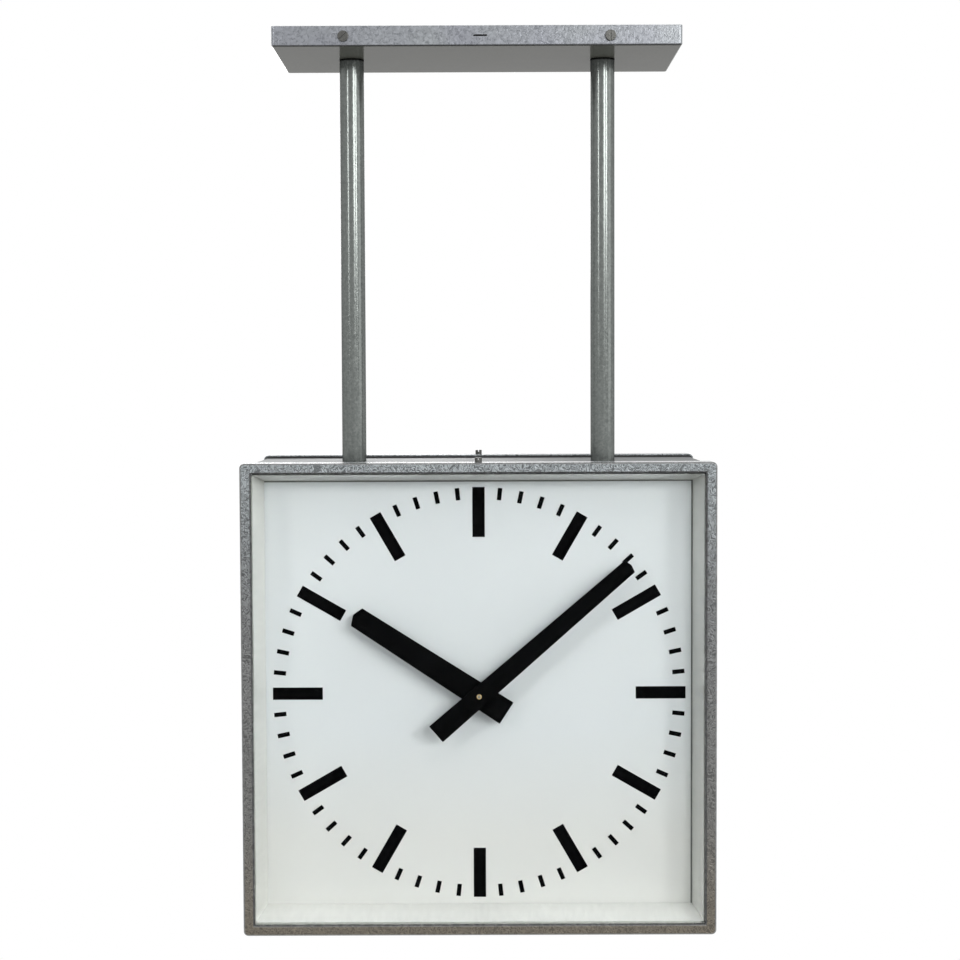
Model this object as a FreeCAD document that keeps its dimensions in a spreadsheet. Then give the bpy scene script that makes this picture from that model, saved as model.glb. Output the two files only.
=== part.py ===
import FreeCAD, Part
import math
import os

import Sketcher
from FreeCAD import Placement, Rotation, Vector

# A double sided station clock that hangs from a ceiling on two pipes.
# Row frame: origin on the ceiling, at the centre of the ceiling plate's top; +Z is up,
# +X is to the right of a person who faces the front dial, +Y points away from them.
# Each side of the case is modelled as a front and then turned half a turn about Z for the rear.
# In a side's own frame, "height" is measured outwards from the middle of the case, along -Y.

DIMENSIONS = {
    # ceiling fitting
    "canopyWidth": 374, "canopyLength": 152, "canopyHeight": 18.5, "canopySheet": 1.2,
    "canopyCorner": 3, "canopyBend": 1.1, "canopyPipeGap": 0.5,
    "slitWidth": 12.5, "slitHeight": 1.4, "slitOffset": 3, "slitDrop": 9,
    "plateWidth": 330, "plateLength": 130, "plateThick": 3,
    "boltSpacingAcross": 290, "boltSpacingAlong": 90, "boltHoleRadius": 4.25,
    "tabWidth": 20, "tabDrop": 15.5, "tabThick": 3,
    "canopyScrewSpacing": 243, "canopyScrewDrop": 9.5, "canopyScrewRadius": 2.5,
    "canopyScrewLength": 12, "canopyHeadRadius": 5, "canopyHeadHeight": 2.6,
    "screwEdge": 0.5, "screwClearance": 0.1,
    "socketRadius": 16, "socketHeight": 12,
    # hanging pipes
    "pipeSpacing": 237.4, "pipeRadius": 11.5, "pipeWall": 1.5, "pipeTopGap": 3.5, "pipeEndRise": 32,
    # case
    "hangDrop": 396, "caseWidth": 430, "caseDepth": 230, "bodyInset": 3, "bodySheet": 1.5,
    "bodyEdge": 1.2, "bodyOverlap": 6, "tongueWidth": 24, "tongueReach": 12, "tongueRoot": 4,
    "tongueSlot": 5.4, "tongueSlotLength": 6.5,
    "sealCorner": 4, "sealProud": 1.9, "sealGap": 0.3, "sealWidth": 2.2,
    "channelLength": 340, "channelWidth": 66, "channelRise": 19.5, "channelThick": 3,
    "nutAcrossFlats": 32, "nutHeight": 5,
    "terminalWidth": 60, "terminalDepth": 22, "terminalHeight": 18,
    "wellRadius": 3, "wellDepth": 6, "wellPitch": 13,
    # doors
    "doorDepth": 28, "doorSheet": 1.5, "doorCorner": 4.5, "doorEdge": 2.5, "lipBack": 4.5,
    "openingHalf": 204.5, "lipBevel": 3, "foldInner": 208.2, "foldOuter": 212,
    "glassThick": 3, "glassInset": 3.5,
    "linerFrontHalf": 204.2, "linerRearHalf": 197.2, "linerRearDepth": 43, "linerSheet": 1,
    "linerFlangeHalf": 209.5, "linerSeam": 0.12,
    "clipWidth": 14, "clipSheet": 1.2, "clipReach": 206.5, "clipHeight": 7, "clipOffset": 110,
    "lockDepth": 13, "lockHeadRadius": 3.2, "lockHeadHeight": 4.3, "lockShankRadius": 2,
    "lockLength": 10, "lockCollarRadius": 3.4, "lockCollarHeight": 3, "lockCollarGap": 0.6,
    # hinges under the case
    "hingeOffset": 120, "hingeWidth": 50, "hingeDrop": 3.2, "knuckleRadius": 2.8, "knuckleHalf": 10,
    "knuckleGap": 0.3, "leafSheet": 1.2, "doorLeafLength": 22, "caseLeafLength": 20, "leafClear": 4,
    "leafGap": 0.3, "leafOverlap": 0.5, "packingStep": 1, "hingePinRadius": 1.25, "runningGap": 0.05,
    # dials and hands
    "dialDepth": 44, "dialSheet": 1.5, "dialHalf": 205, "dialHoleRadius": 4.6,
    "carrierHalf": 195, "carrierSheet": 1.5, "carrierDepth": 12,
    "dialScrewHalf": 202, "dialScrewOffset": 150, "dialScrewRadius": 1.6, "dialScrewLength": 6,
    "dialScrewHeadRadius": 2.25, "dialScrewHeadHeight": 1.4,
    "ringRadius": 191, "hourMarkLength": 46.2, "hourMarkWidth": 11.4,
    "minuteMarkLength": 11.3, "minuteMarkWidth": 4.1, "markHeight": 0.25,
    "handSheet": 1.5, "minuteHandDepth": 21, "minuteHandReach": 182.2, "minuteHandPoint": 1.9,
    "minuteHandTail": 52.5, "minuteHandTipWidth": 14.1, "minuteHandTailWidth": 19.1,
    "hourHandDepth": 28, "hourHandReach": 133.7, "hourHandPoint": 3.8, "hourHandTail": 29.9,
    "hourHandTipWidth": 19.2, "hourHandTailWidth": 23.4, "handBossRadius": 6.5, "handBossHeight": 2.5,
    # movement, by height from the middle of the case
    "plateFrontTop": 60, "plateBackTop": 40, "movementSheet": 1.5, "movementHalf": 40,
    "movementLow": -30, "movementHigh": 36, "pillarOffset": 35, "pillarLow": -25, "pillarHigh": 31,
    "pillarRadius": 3.5, "pillarNeck": 2, "pillarNut": 3,
    "arborRadius": 1.5, "smallArborRadius": 1, "cannonRadius": 2.2, "hourPipeRadius": 3.6,
    "arborProud": 0.8, "arborTail": 0.5, "pivotTail": 0.3, "studGap": 0.3, "pinionGap": 0.4,
    "wheelSheet": 2, "hubRadius": 4, "hubHeight": 3, "minuteCollarRadius": 1.7,
    "motionCentres": 12, "motionModule": 0.5, "hourModule": 0.48,
    "thirdCentres": 15, "rotorCentres": 14, "trainModule": 0.5,
    "hourWheelHeight": 66.5, "minutePinionHeight": 65.6, "cannonPinionHeight": 60.6,
    "minuteWheelHeight": 61.2, "centreWheelHeight": 54, "thirdPinionHeight": 53,
    "thirdWheelHeight": 46, "rotorPinionHeight": 45.4, "rotorHeight": 51, "rotorThick": 6,
    "rotorRadius": 7, "statorBore": 7.6, "statorHalf": 30, "statorLeg": 6, "statorLow": 24,
    "statorPole": 10, "statorCore": 45, "coilRadius": 9, "coilFlangeRadius": 10.4,
    "coilHalf": 22, "coilFlange": 1.5,
    # how far a cutting solid runs past what it cuts
    "overcut": 1,
}

# clock angles of the hands, in degrees past twelve
MINUTE_ANGLE = 49.1
HOUR_ANGLE = 303.0
TEETH = {"cannon": 12, "minute": 36, "minutePinion": 10, "hour": 40,
         "centre": 50, "thirdPinion": 10, "third": 48, "rotorPinion": 8}
TOOTH_ADDENDUM = 0.7
TOOTH_DEDENDUM = 1.15
# half widths of a tooth at its root, pitch circle and tip, as shares of the tooth spacing
TOOTH_SHARES = (0.27, 0.19, 0.09)
UP = 90
DOWN = -90
BOTH = (-1, 1)
SIDES = ("front", "rear")

doc = FreeCAD.newDocument("StationClock")
sheet = doc.addObject("Spreadsheet::Sheet", "Dims")
for row, (alias, size) in enumerate(DIMENSIONS.items(), start=1):
    sheet.set(f"A{row}", alias)
    sheet.set(f"B{row}", str(size))
    sheet.setAlias(f"B{row}", alias)
doc.recompute()

CELLS = {alias: f"Dims.{alias}" for alias in DIMENSIONS}
nodes = []


def formula(text):
    """Turn "{caseWidth} / 2" into an expression that reads the sheet."""
    return text.format(**CELLS)


def size(alias):
    """The value of one cell of the sheet."""
    return float(sheet.get(alias))


def bind(thing, **formulas):
    """Bind properties to the sheet; base_x means Placement.Base.x."""
    for name, text in formulas.items():
        path = name.replace("base_", "Placement.Base.")
        thing.setExpression(path, formula(text))
    return thing


# --- primitives ---------------------------------------------------------------------------------

def block(name, across, along, upright):
    """A box between pairs of low and high formulas on X, Y and Z."""
    box = doc.addObject("Part::Box", name)
    bind(box, Length=f"({across[1]}) - ({across[0]})", base_x=across[0])
    bind(box, Width=f"({along[1]}) - ({along[0]})", base_y=along[0])
    bind(box, Height=f"({upright[1]}) - ({upright[0]})", base_z=upright[0])
    return box


def layer(name, across, upright, heights):
    """A box of a side's frame, with its depth given as low and high heights."""
    low, high = heights
    return block(name, across, (f"-({high})", f"-({low})"), upright)


def post(name, radius, low, high, across="0", along="0"):
    """An upright cylinder between two levels on Z."""
    rod = doc.addObject("Part::Cylinder", name)
    return bind(rod, Radius=radius, Height=f"({high}) - ({low})", base_x=across, base_y=along, base_z=low)


def disc(name, radius, low, high, across="0", upright="0"):
    """A cylinder along a side's depth, from a low height to a high one."""
    rod = doc.addObject("Part::Cylinder", name)
    rod.Placement = Placement(Vector(), Rotation(Vector(1, 0, 0), 90))
    return bind(rod, Radius=radius, Height=f"({high}) - ({low})",
                base_x=across, base_y=f"-({low})", base_z=upright)


def bar(name, radius, low, high, along, upright):
    """A cylinder along X between two values of X."""
    rod = doc.addObject("Part::Cylinder", name)
    rod.Placement = Placement(Vector(), Rotation(Vector(0, 1, 0), 90))
    return bind(rod, Radius=radius, Height=f"({high}) - ({low})", base_x=low, base_y=along, base_z=upright)


def fuse(name, *pieces):
    joined = doc.addObject("Part::MultiFuse", name)
    joined.Shapes = list(pieces)
    joined.Refine = True
    return joined


def group(name, pieces):
    gathered = doc.addObject("Part::Compound", name)
    gathered.Links = list(pieces)
    return gathered


def cut(name, base, *tools):
    """The base less its tools, which don't touch each other."""
    carved = doc.addObject("Part::Cut", name)
    carved.Base = base
    carved.Tool = tools[0] if len(tools) == 1 else group(name + "Tools", tools)
    return carved


def rounded(name, base, alias, wanted):
    """Round the edges of the base that wanted() picks by the radius in a cell."""
    doc.recompute()
    fillet = doc.addObject("Part::Fillet", name)
    fillet.Base = base
    radius = size(alias)
    fillet.Edges = [(index, radius, radius) for index, edge in enumerate(base.Shape.Edges, start=1)
                    if wanted(edge)]
    return fillet


def runsAlong(axis):
    """Pick straight edges that run along one axis."""
    def wanted(edge):
        start, end = edge.Vertexes[0].Point, edge.Vertexes[-1].Point
        return abs((end - start).normalize().dot(axis)) > 0.999
    return wanted


def square(name, half, low, high, corner=None):
    """A square slab of a side's frame, with rounded corners where a cell gives their radius."""
    slab = layer(name, (f"-({half})", half), (f"-({half})", half), (low, high))
    if corner is None:
        return slab
    return rounded(name + "Corners", slab, corner, runsAlong(Vector(0, 1, 0)))


def squareRing(name, outer, inner, low, high):
    return cut(name, square(name + "Outer", outer, low, high), square(name + "Inner", inner, low, high))


# --- part design ---------------------------------------------------------------------------------

def newBody(name):
    return doc.addObject("PartDesign::Body", name)


def sketchOn(body, role, level="0"):
    """A sketch on one of the body's own planes, raised along its normal."""
    plane = next(part for part in body.Origin.OriginFeatures if part.Role == role)
    sketch = body.newObject("Sketcher::SketchObject", body.Name + "Sketch")
    sketch.AttachmentSupport = [(plane, "")]
    sketch.MapMode = "FlatFace"
    sketch.setExpression("AttachmentOffset.Base.z", formula(level))
    return sketch


def drawPolygon(sketch, points, joined=True):
    """Lines through the points, joined end to end; returns the index of the first line."""
    first = sketch.GeometryCount
    closed = points + points[:1]
    sketch.addGeometry([Part.LineSegment(Vector(*start, 0), Vector(*end, 0))
                        for start, end in zip(closed, closed[1:])], False)
    if joined:
        lines = list(range(first, first + len(points)))
        sketch.addConstraint([Sketcher.Constraint("Coincident", line, 2, following, 1)
                              for line, following in zip(lines, lines[1:] + lines[:1])])
    return first


def pinPoint(sketch, line, name, across, upright):
    """Hold the start of a line at a place read from the sheet."""
    for kind, text in (("DistanceX", across), ("DistanceY", upright)):
        label = f"{name}{kind[-1]}"
        index = sketch.addConstraint(Sketcher.Constraint(kind, -1, 1, line, 1, 1.0))
        sketch.renameConstraint(index, label)
        sketch.setExpression(f"Constraints.{label}", formula(text))


def drawBound(sketch, name, corners):
    """A polygon whose corners are pairs of formulas."""
    count = len(corners)
    turns = [math.tau * step / count for step in range(count)]
    circle = [(math.cos(turn), math.sin(turn)) for turn in turns]
    first = drawPolygon(sketch, circle)
    for step, (across, upright) in enumerate(corners):
        pinPoint(sketch, first + step, f"{name}{step}", across, upright)


def drawRectangle(sketch, name, across, upright):
    corners = [(across[0], upright[0]), (across[1], upright[0]),
               (across[1], upright[1]), (across[0], upright[1])]
    drawBound(sketch, name, corners)


def drawCircle(sketch, name, radius, across="0", upright="0"):
    index = sketch.addGeometry(Part.Circle(Vector(1, 1, 0), Vector(0, 0, 1), 1), False)
    place = sketch.addConstraint(Sketcher.Constraint("Radius", index, 1.0))
    sketch.renameConstraint(place, name + "Radius")
    sketch.setExpression(f"Constraints.{name}Radius", formula(radius))
    for kind, text in (("DistanceX", across), ("DistanceY", upright)):
        label = f"{name}{kind[-1]}"
        place = sketch.addConstraint(Sketcher.Constraint(kind, -1, 1, index, 3, 1.0))
        sketch.renameConstraint(place, label)
        sketch.setExpression(f"Constraints.{label}", formula(text))


def pad(body, sketch, length):
    raised = body.newObject("PartDesign::Pad", sketch.Name + "Pad")
    raised.Profile = sketch
    raised.setExpression("Length", formula(length))
    sketch.Visibility = False
    return raised


def pocket(body, sketch, length):
    """Cut down from the sketch, against its normal; the volume must fall."""
    doc.recompute()
    before = body.Shape.Volume
    hollow = body.newObject("PartDesign::Pocket", sketch.Name + "Pocket")
    hollow.Profile = sketch
    hollow.setExpression("Length", formula(length))
    doc.recompute()
    if body.Shape.Volume >= before - 1e-6:
        raise RuntimeError(f"{body.Name}: a pocket cuts nothing")
    return hollow


def roundEdges(body, kind, name, length, wanted):
    """Fillet or chamfer the edges of the body's tip that wanted() picks."""
    doc.recompute()
    tip = body.Tip
    edges = [f"Edge{index}" for index, edge in enumerate(tip.Shape.Edges, start=1) if wanted(edge)]
    feature = body.newObject("PartDesign::" + kind, name)
    feature.Base = (tip, edges)
    feature.setExpression("Radius" if kind == "Fillet" else "Size", formula(length))
    doc.recompute()
    return feature


def keep(name, piece, base_z="0", turn=0):
    """Name a finished sub-part and set it in its place in the row frame."""
    piece.Label = name
    piece.Placement = Placement(Vector(), Rotation(Vector(0, 0, 1), turn))
    bind(piece, base_z=base_z)
    nodes.append(piece)
    return piece


CASE_MIDDLE = "-({hangDrop} + {caseWidth} / 2)"


def keepOnSide(side, name, piece):
    """Set a side's sub-part on the front or, half a turn about Z away, on the rear."""
    return keep(f"{side}_{name}", piece, CASE_MIDDLE, 0 if side == "front" else 180)


# --- slotted screws -------------------------------------------------------------------------------

# a slot's length, half width and floor, as shares of its screw head
SLOT_REACH = 1.1
SLOT_HALF_WIDTH = 0.13
SLOT_FLOOR = 0.55


def slottedScrew(name, head, headHeight, shank, length, slotAngle):
    """A slotted screw along Z with its head's seat at the origin and its head upwards."""
    cap = rounded(name + "Cap", post(name + "Head", head, "0", headHeight), "screwEdge",
                  lambda edge: edge.Closed and edge.BoundBox.ZMin > 0.01)
    stem = post(name + "Shank", shank, f"-({length})", "{screwEdge}")
    solid = fuse(name + "Solid", cap, stem)
    slot = block(name + "Slot", around("0", f"2 * {head} * {SLOT_REACH}"),
                 around("0", f"2 * {head} * {SLOT_HALF_WIDTH}"),
                 (f"{headHeight} * {SLOT_FLOOR}", f"{headHeight} + {{overcut}}"))
    turned = group(name + "SlotTurned", [slot])
    turned.Placement = Placement(Vector(), Rotation(Vector(0, 0, 1), slotAngle))
    return cut(name, solid, turned)


# --- ceiling fitting and pipes --------------------------------------------------------------------

def span(sign, near, far):
    """A range of formulas that starts near the middle plane, on the side that sign gives."""
    return (near, far) if sign > 0 else (f"-({far})", f"-({near})")


def around(middle, width):
    """A range of formulas centred on a place."""
    return (f"{middle} - {width} / 2", f"{middle} + {width} / 2")


def rectangleHoles(across, along):
    """The four corners of a rectangle, as pairs of formulas."""
    return [(f"{x} * {across} / 2", f"{y} * {along} / 2") for x in BOTH for y in BOTH]


def makeCeilingPlate():
    plate = block("PlateFlat", around("0", "{plateWidth}"), around("0", "{plateLength}"),
                  ("-{plateThick}", "0"))
    inner = "({canopyLength} / 2 - {canopySheet})"
    tabs = []
    for x in BOTH:
        across = around(f"{x} * {{canopyScrewSpacing}} / 2", "{tabWidth}")
        for y in BOTH:
            arm = span(y, "{plateLength} / 4", inner)
            drop = span(y, f"{inner} - {{tabThick}}", inner)
            tabs.append(block("TabArm", across, arm, ("-{plateThick}", "0")))
            tabs.append(block("TabDrop", across, drop, ("-{tabDrop}", "0")))
    below, above = "-{plateThick} - {overcut}", "{overcut}"
    holes = [post("BoltHole", "{boltHoleRadius}", below, above, x, y)
             for x, y in rectangleHoles("{boltSpacingAcross}", "{boltSpacingAlong}")]
    holes += [post("PipeEntry", "{pipeRadius} - {pipeWall}", below, above, f"{x} * {{pipeSpacing}} / 2")
              for x in BOTH]
    holes += [disc("TabThread", "{canopyScrewRadius}", "-{canopyLength}", "{canopyLength}",
                   f"{x} * {{canopyScrewSpacing}} / 2", "-{canopyScrewDrop}") for x in BOTH]
    keep("ceiling_plate", cut("CeilingPlate", fuse("PlateSolid", plate, *tabs), *holes))


def makePipeSockets():
    low, high = "-({plateThick} + {socketHeight})", "-{plateThick}"
    sockets = []
    for x in BOTH:
        across = f"{x} * {{pipeSpacing}} / 2"
        sockets.append(cut("Socket", post("SocketWall", "{socketRadius}", low, high, across),
                           post("SocketBore", "{pipeRadius}", low, high, across)))
    keep("pipe_sockets", group("PipeSockets", sockets))


def makeCanopy():
    body = newBody("Canopy")
    outline = sketchOn(body, "XY_Plane", "-{canopyHeight}")
    half = ("{canopyWidth} / 2", "{canopyLength} / 2")
    drawRectangle(outline, "outer", (f"-{half[0]}", half[0]), (f"-{half[1]}", half[1]))
    pad(body, outline, "{canopyHeight}")
    roundEdges(body, "Fillet", "CanopyCorners", "{canopyCorner}", runsAlong(Vector(0, 0, 1)))
    roundEdges(body, "Fillet", "CanopyBends", "{canopyBend}",
               lambda edge: edge.BoundBox.ZMax < -size("canopyHeight") + 0.01)
    inside = sketchOn(body, "XY_Plane")
    inner = [f"({edge} - {{canopySheet}})" for edge in half]
    drawRectangle(inside, "inner", (f"-{inner[0]}", inner[0]), (f"-{inner[1]}", inner[1]))
    pocket(body, inside, "{canopyHeight} - {canopySheet}")
    passages = sketchOn(body, "XY_Plane")
    for name, x in (("left", -1), ("right", 1)):
        drawCircle(passages, name, "{pipeRadius} + {canopyPipeGap}", f"{x} * {{pipeSpacing}} / 2")
    pocket(body, passages, "{canopyHeight}")
    sides = sketchOn(body, "XZ_Plane", "{canopyLength} / 2")
    for name, x in (("left", -1), ("right", 1)):
        drawCircle(sides, name, "{canopyScrewRadius} + {screwClearance}",
                   f"{x} * {{canopyScrewSpacing}} / 2", "-{canopyScrewDrop}")
    drawRectangle(sides, "slit", around("{slitOffset}", "{slitWidth}"),
                  around("-{slitDrop}", "{slitHeight}"))
    pocket(body, sides, "{canopyLength}")
    keep("ceiling_canopy", body)


def makeCanopyScrews():
    slotAngles = {(-1, -1): 40, (1, -1): 90, (-1, 1): 75, (1, 1): 10}
    screws = []
    for (x, y), slotAngle in slotAngles.items():
        screw = slottedScrew("CanopyScrew", "{canopyHeadRadius}", "{canopyHeadHeight}",
                             "{canopyScrewRadius}", "{canopyScrewLength}", slotAngle)
        screw.Placement = Placement(Vector(), Rotation(Vector(1, 0, 0), -90 * y))
        bind(screw, base_x=f"{x} * {{canopyScrewSpacing}} / 2", base_y=f"{y} * {{canopyLength}} / 2",
             base_z="-{canopyScrewDrop}")
        screws.append(screw)
    keep("canopy_screws", group("CanopyScrews", screws))


PIPE_END = "-({hangDrop} + {pipeEndRise})"


def makePipes():
    for name, x in (("pipe_left", -1), ("pipe_right", 1)):
        across = f"{x} * {{pipeSpacing}} / 2"
        wall = post("PipeWall", "{pipeRadius}", PIPE_END, "-{pipeTopGap}", across)
        bore = post("PipeBore", "{pipeRadius} - {pipeWall}", PIPE_END, "-{pipeTopGap}", across)
        keep(name, cut("Pipe", wall, bore))


# --- the case, in a frame whose origin is the middle of the case ----------------------------------

def outerEdges(edge):
    """Pick the long edges of a sheet's outer face, which run along the case's depth."""
    farX = abs(edge.CenterOfMass.x) > size("caseWidth") / 2 - size("bodyInset") - 0.01
    farZ = abs(edge.CenterOfMass.z) > size("caseWidth") / 2 - size("bodyInset") - 0.01
    return farX and farZ


BODY_HALF = "({caseWidth} / 2 - {bodyInset})"
BODY_INNER = f"({BODY_HALF} - {{bodySheet}})"
BODY_END = "({caseDepth} / 2 - {doorDepth} + {bodyOverlap})"
SEAL_LOW = "({caseDepth} / 2 - {doorDepth} - {sealGap} - {sealWidth})"
SEAL_HIGH = "({caseDepth} / 2 - {doorDepth} - {sealGap})"
CHANNEL_WEB = f"({BODY_INNER} - {{channelRise}})"


def makeCasePanels():
    """Four welded sheets; the top one has a notched tongue at each end for the lock screw."""
    ends = (f"-{BODY_END}", BODY_END)
    top = block("TopSheet", around("0", f"2 * {BODY_HALF}"), ends, (BODY_INNER, BODY_HALF))
    top = rounded("TopEdges", top, "bodyEdge", outerEdges)
    bottom = block("BottomSheet", around("0", f"2 * {BODY_HALF}"), ends,
                   (f"-{BODY_HALF}", f"-{BODY_INNER}"))
    bottom = rounded("BottomEdges", bottom, "bodyEdge", outerEdges)
    tongueEnd = f"({BODY_END} + {{tongueReach}})"
    below, above = f"{BODY_INNER} - {{overcut}}", f"{BODY_HALF} + {{overcut}}"
    tongues, cuts = [], []
    for side in BOTH:
        along = span(side, f"{BODY_END} - {{tongueRoot}}", tongueEnd)
        slot = span(side, f"{tongueEnd} - {{tongueSlotLength}}", f"{tongueEnd} + {{overcut}}")
        tongues.append(block("Tongue", around("0", "{tongueWidth}"), along, (BODY_INNER, BODY_HALF)))
        cuts.append(block("TongueSlot", around("0", "{tongueSlot}"), slot, (below, above)))
        cuts.append(post("TopPipeHole", "{pipeRadius}", below, above, f"{side} * {{pipeSpacing}} / 2"))
    keep("case_top", cut("CaseTop", fuse("TopAndTongues", top, *tongues), *cuts), CASE_MIDDLE)
    keep("case_bottom", group("CaseBottom", [bottom]), CASE_MIDDLE)
    for name, x in (("case_left", -1), ("case_right", 1)):
        sheet = block("SideSheet", span(x, BODY_INNER, BODY_HALF), ends, (f"-{BODY_INNER}", BODY_INNER))
        keep(name, group("CaseSide", [sheet]), CASE_MIDDLE)


def makeChannel():
    """A steel channel, open upwards, under the case's top; the pipes are clamped to its web."""
    half = ("{channelLength} / 2", "{channelWidth} / 2")
    outer = block("ChannelOuter", (f"-{half[0]}", half[0]), (f"-{half[1]}", half[1]),
                  (CHANNEL_WEB, BODY_INNER))
    inner = block("ChannelInner", (f"-{half[0]}", half[0]),
                  (f"-({half[1]} - {{channelThick}})", f"{half[1]} - {{channelThick}}"),
                  (f"{CHANNEL_WEB} + {{channelThick}}", BODY_INNER))
    holes = [post("ChannelPipeHole", "{pipeRadius}", f"{CHANNEL_WEB} - {{overcut}}",
                  f"{CHANNEL_WEB} + {{channelThick}}", f"{x} * {{pipeSpacing}} / 2") for x in BOTH]
    keep("case_channel", cut("CaseChannel", outer, inner, *holes), CASE_MIDDLE)


def makeLocknuts():
    nuts = []
    for x in BOTH:
        across = f"{x} * {{pipeSpacing}} / 2"
        for low in (f"{CHANNEL_WEB} - {{nutHeight}}", f"{CHANNEL_WEB} + {{channelThick}}"):
            hexagon = doc.addObject("Part::Prism", "NutHexagon")
            bind(hexagon, Circumradius="{nutAcrossFlats} / sqrt(3)", Height="{nutHeight}",
                 base_x=across, base_z=low)
            bore = post("NutBore", "{pipeRadius}", low, f"{low} + {{nutHeight}}", across)
            nuts.append(cut("Nut", hexagon, bore))
    keep("case_locknuts", group("CaseLocknuts", nuts), CASE_MIDDLE)


WELL_STEPS = (-1.5, -0.5, 0.5, 1.5)


def makeTerminalBlock():
    """A cable terminal block under the channel's web, with two rows of screw wells."""
    low = f"({CHANNEL_WEB} - {{terminalHeight}})"
    base = block("TerminalBase", around("0", "{terminalWidth}"), around("0", "{terminalDepth}"),
                 (low, CHANNEL_WEB))
    wells = [post("TerminalWell", "{wellRadius}", f"{low} - {{overcut}}", f"{low} + {{wellDepth}}",
                  f"{step} * {{wellPitch}}", f"{y} * {{terminalDepth}} / 4")
             for step in WELL_STEPS for y in BOTH]
    keep("terminal_block", cut("TerminalBlock", base, *wells), CASE_MIDDLE)


def makeSeals():
    rings = []
    for side in BOTH:
        low, high = (SEAL_LOW, SEAL_HIGH) if side > 0 else (f"-{SEAL_HIGH}", f"-{SEAL_LOW}")
        outer = square("SealOuter", f"({BODY_HALF} + {{sealProud}})", low, high, "sealCorner")
        inner = square("SealInner", BODY_HALF, low, high)
        rings.append(cut("Seal", outer, inner))
    keep("door_seals", group("DoorSeals", rings), CASE_MIDDLE)


# --- hinges under the case, made at the front and turned for the rear -----------------------------

HINGE_LEVEL = "(-{caseWidth} / 2 - {hingeDrop})"
HINGE_HEIGHT = "({caseDepth} / 2 - {doorDepth})"
DOOR_UNDERSIDE = "(-{caseWidth} / 2)"


def hingeBar(name, radius, low, high):
    """A cylinder on the hinge's line, between two places on X."""
    return bar(name, radius, low, high, f"-{HINGE_HEIGHT}", HINGE_LEVEL)


def caseLeaf(x):
    """A leaf under the body with a barrel at each end of the hinge."""
    middle = f"{x} * {{hingeOffset}}"
    wide = around(middle, "{hingeWidth}")
    top = f"({DOOR_UNDERSIDE} - {{leafGap}})"
    sheetRange = (f"{top} - {{leafSheet}}", top)
    reach = f"{HINGE_HEIGHT} - {{caseLeafLength}}"
    front = f"{HINGE_HEIGHT} - {{leafClear}}"
    pieces = [layer("LeafFlat", wide, sheetRange, (reach, front)),
              layer("LeafPacking", wide, (f"{top} - {{leafSheet}} / 2", f"-{BODY_HALF}"),
                    (reach, f"{front} - {{packingStep}}"))]
    for low, high in ((wide[0], f"{middle} - {{knuckleHalf}} - {{knuckleGap}}"),
                      (f"{middle} + {{knuckleHalf}} + {{knuckleGap}}", wide[1])):
        reach = (f"{front} - {{leafOverlap}}", HINGE_HEIGHT)
        pieces.append(layer("LeafArm", (low, high), sheetRange, reach))
        pieces.append(hingeBar("Barrel", "{knuckleRadius}", low, high))
    return cut("CaseLeaf", fuse("CaseLeafSolid", *pieces), hingeBar("LeafBore", "{hingePinRadius}", *wide))


def doorLeaf(x):
    """A leaf under the door's lower flange with one barrel in the middle."""
    middle = f"{x} * {{hingeOffset}}"
    narrow = (f"{middle} - {{knuckleHalf}}", f"{middle} + {{knuckleHalf}}")
    sheetRange = (f"{DOOR_UNDERSIDE} - {{leafSheet}}", DOOR_UNDERSIDE)
    back = f"{HINGE_HEIGHT} + {{leafClear}}"
    flat = layer("DoorLeafFlat", around(middle, "{hingeWidth}"), sheetRange,
                 (back, f"{HINGE_HEIGHT} + {{doorLeafLength}}"))
    arm = layer("DoorLeafArm", narrow, sheetRange, (HINGE_HEIGHT, f"{back} + {{leafOverlap}}"))
    barrel = hingeBar("DoorBarrel", "{knuckleRadius}", *narrow)
    bore = hingeBar("DoorBarrelBore", "{hingePinRadius} + {runningGap}", *narrow)
    return cut("DoorLeaf", fuse("DoorLeafSolid", flat, arm, barrel), bore)


def turnedCopy(name, piece, side):
    """A one-piece group that carries a front piece or turns it to the rear."""
    holder = group(name, [piece])
    holder.Placement = Placement(Vector(), Rotation(Vector(0, 0, 1), 0 if side == "front" else 180))
    return holder


def keepOnBothSides(name, maker):
    """One node for the small like pieces that both sides have."""
    placed = [turnedCopy(name.title().replace("_", ""), maker(), side) for side in SIDES]
    keep(name, group(name.title().replace("_", "") + "Both", placed), CASE_MIDDLE)


def makeCaseHinges():
    leaves, pins = [], []
    for side in SIDES:
        for x in BOTH:
            ends = around(f"{x} * {{hingeOffset}}", "{hingeWidth}")
            pin = hingeBar("HingePin", "{hingePinRadius}", *ends)
            leaves.append(turnedCopy("PlacedLeaf", caseLeaf(x), side))
            pins.append(turnedCopy("PlacedPin", pin, side))
    keep("hinge_case_leaves", group("HingeCaseLeaves", leaves), CASE_MIDDLE)
    keep("hinge_pins", group("HingePins", pins), CASE_MIDDLE)


# --- doors ----------------------------------------------------------------------------------------

FACE = "({caseDepth} / 2)"
DOOR_INNER = "({caseWidth} / 2 - {doorSheet})"


def drawSquare(sketch, name, half):
    drawRectangle(sketch, name, (f"-{half}", half), (f"-{half}", half))


def cornerEdges(half):
    """Pick the edges along the depth at the four corners of a square."""
    def wanted(edge):
        middle = edge.CenterOfMass
        return runsAlong(Vector(0, 1, 0))(edge) and min(abs(middle.x), abs(middle.z)) > half - 0.01
    return wanted


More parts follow.
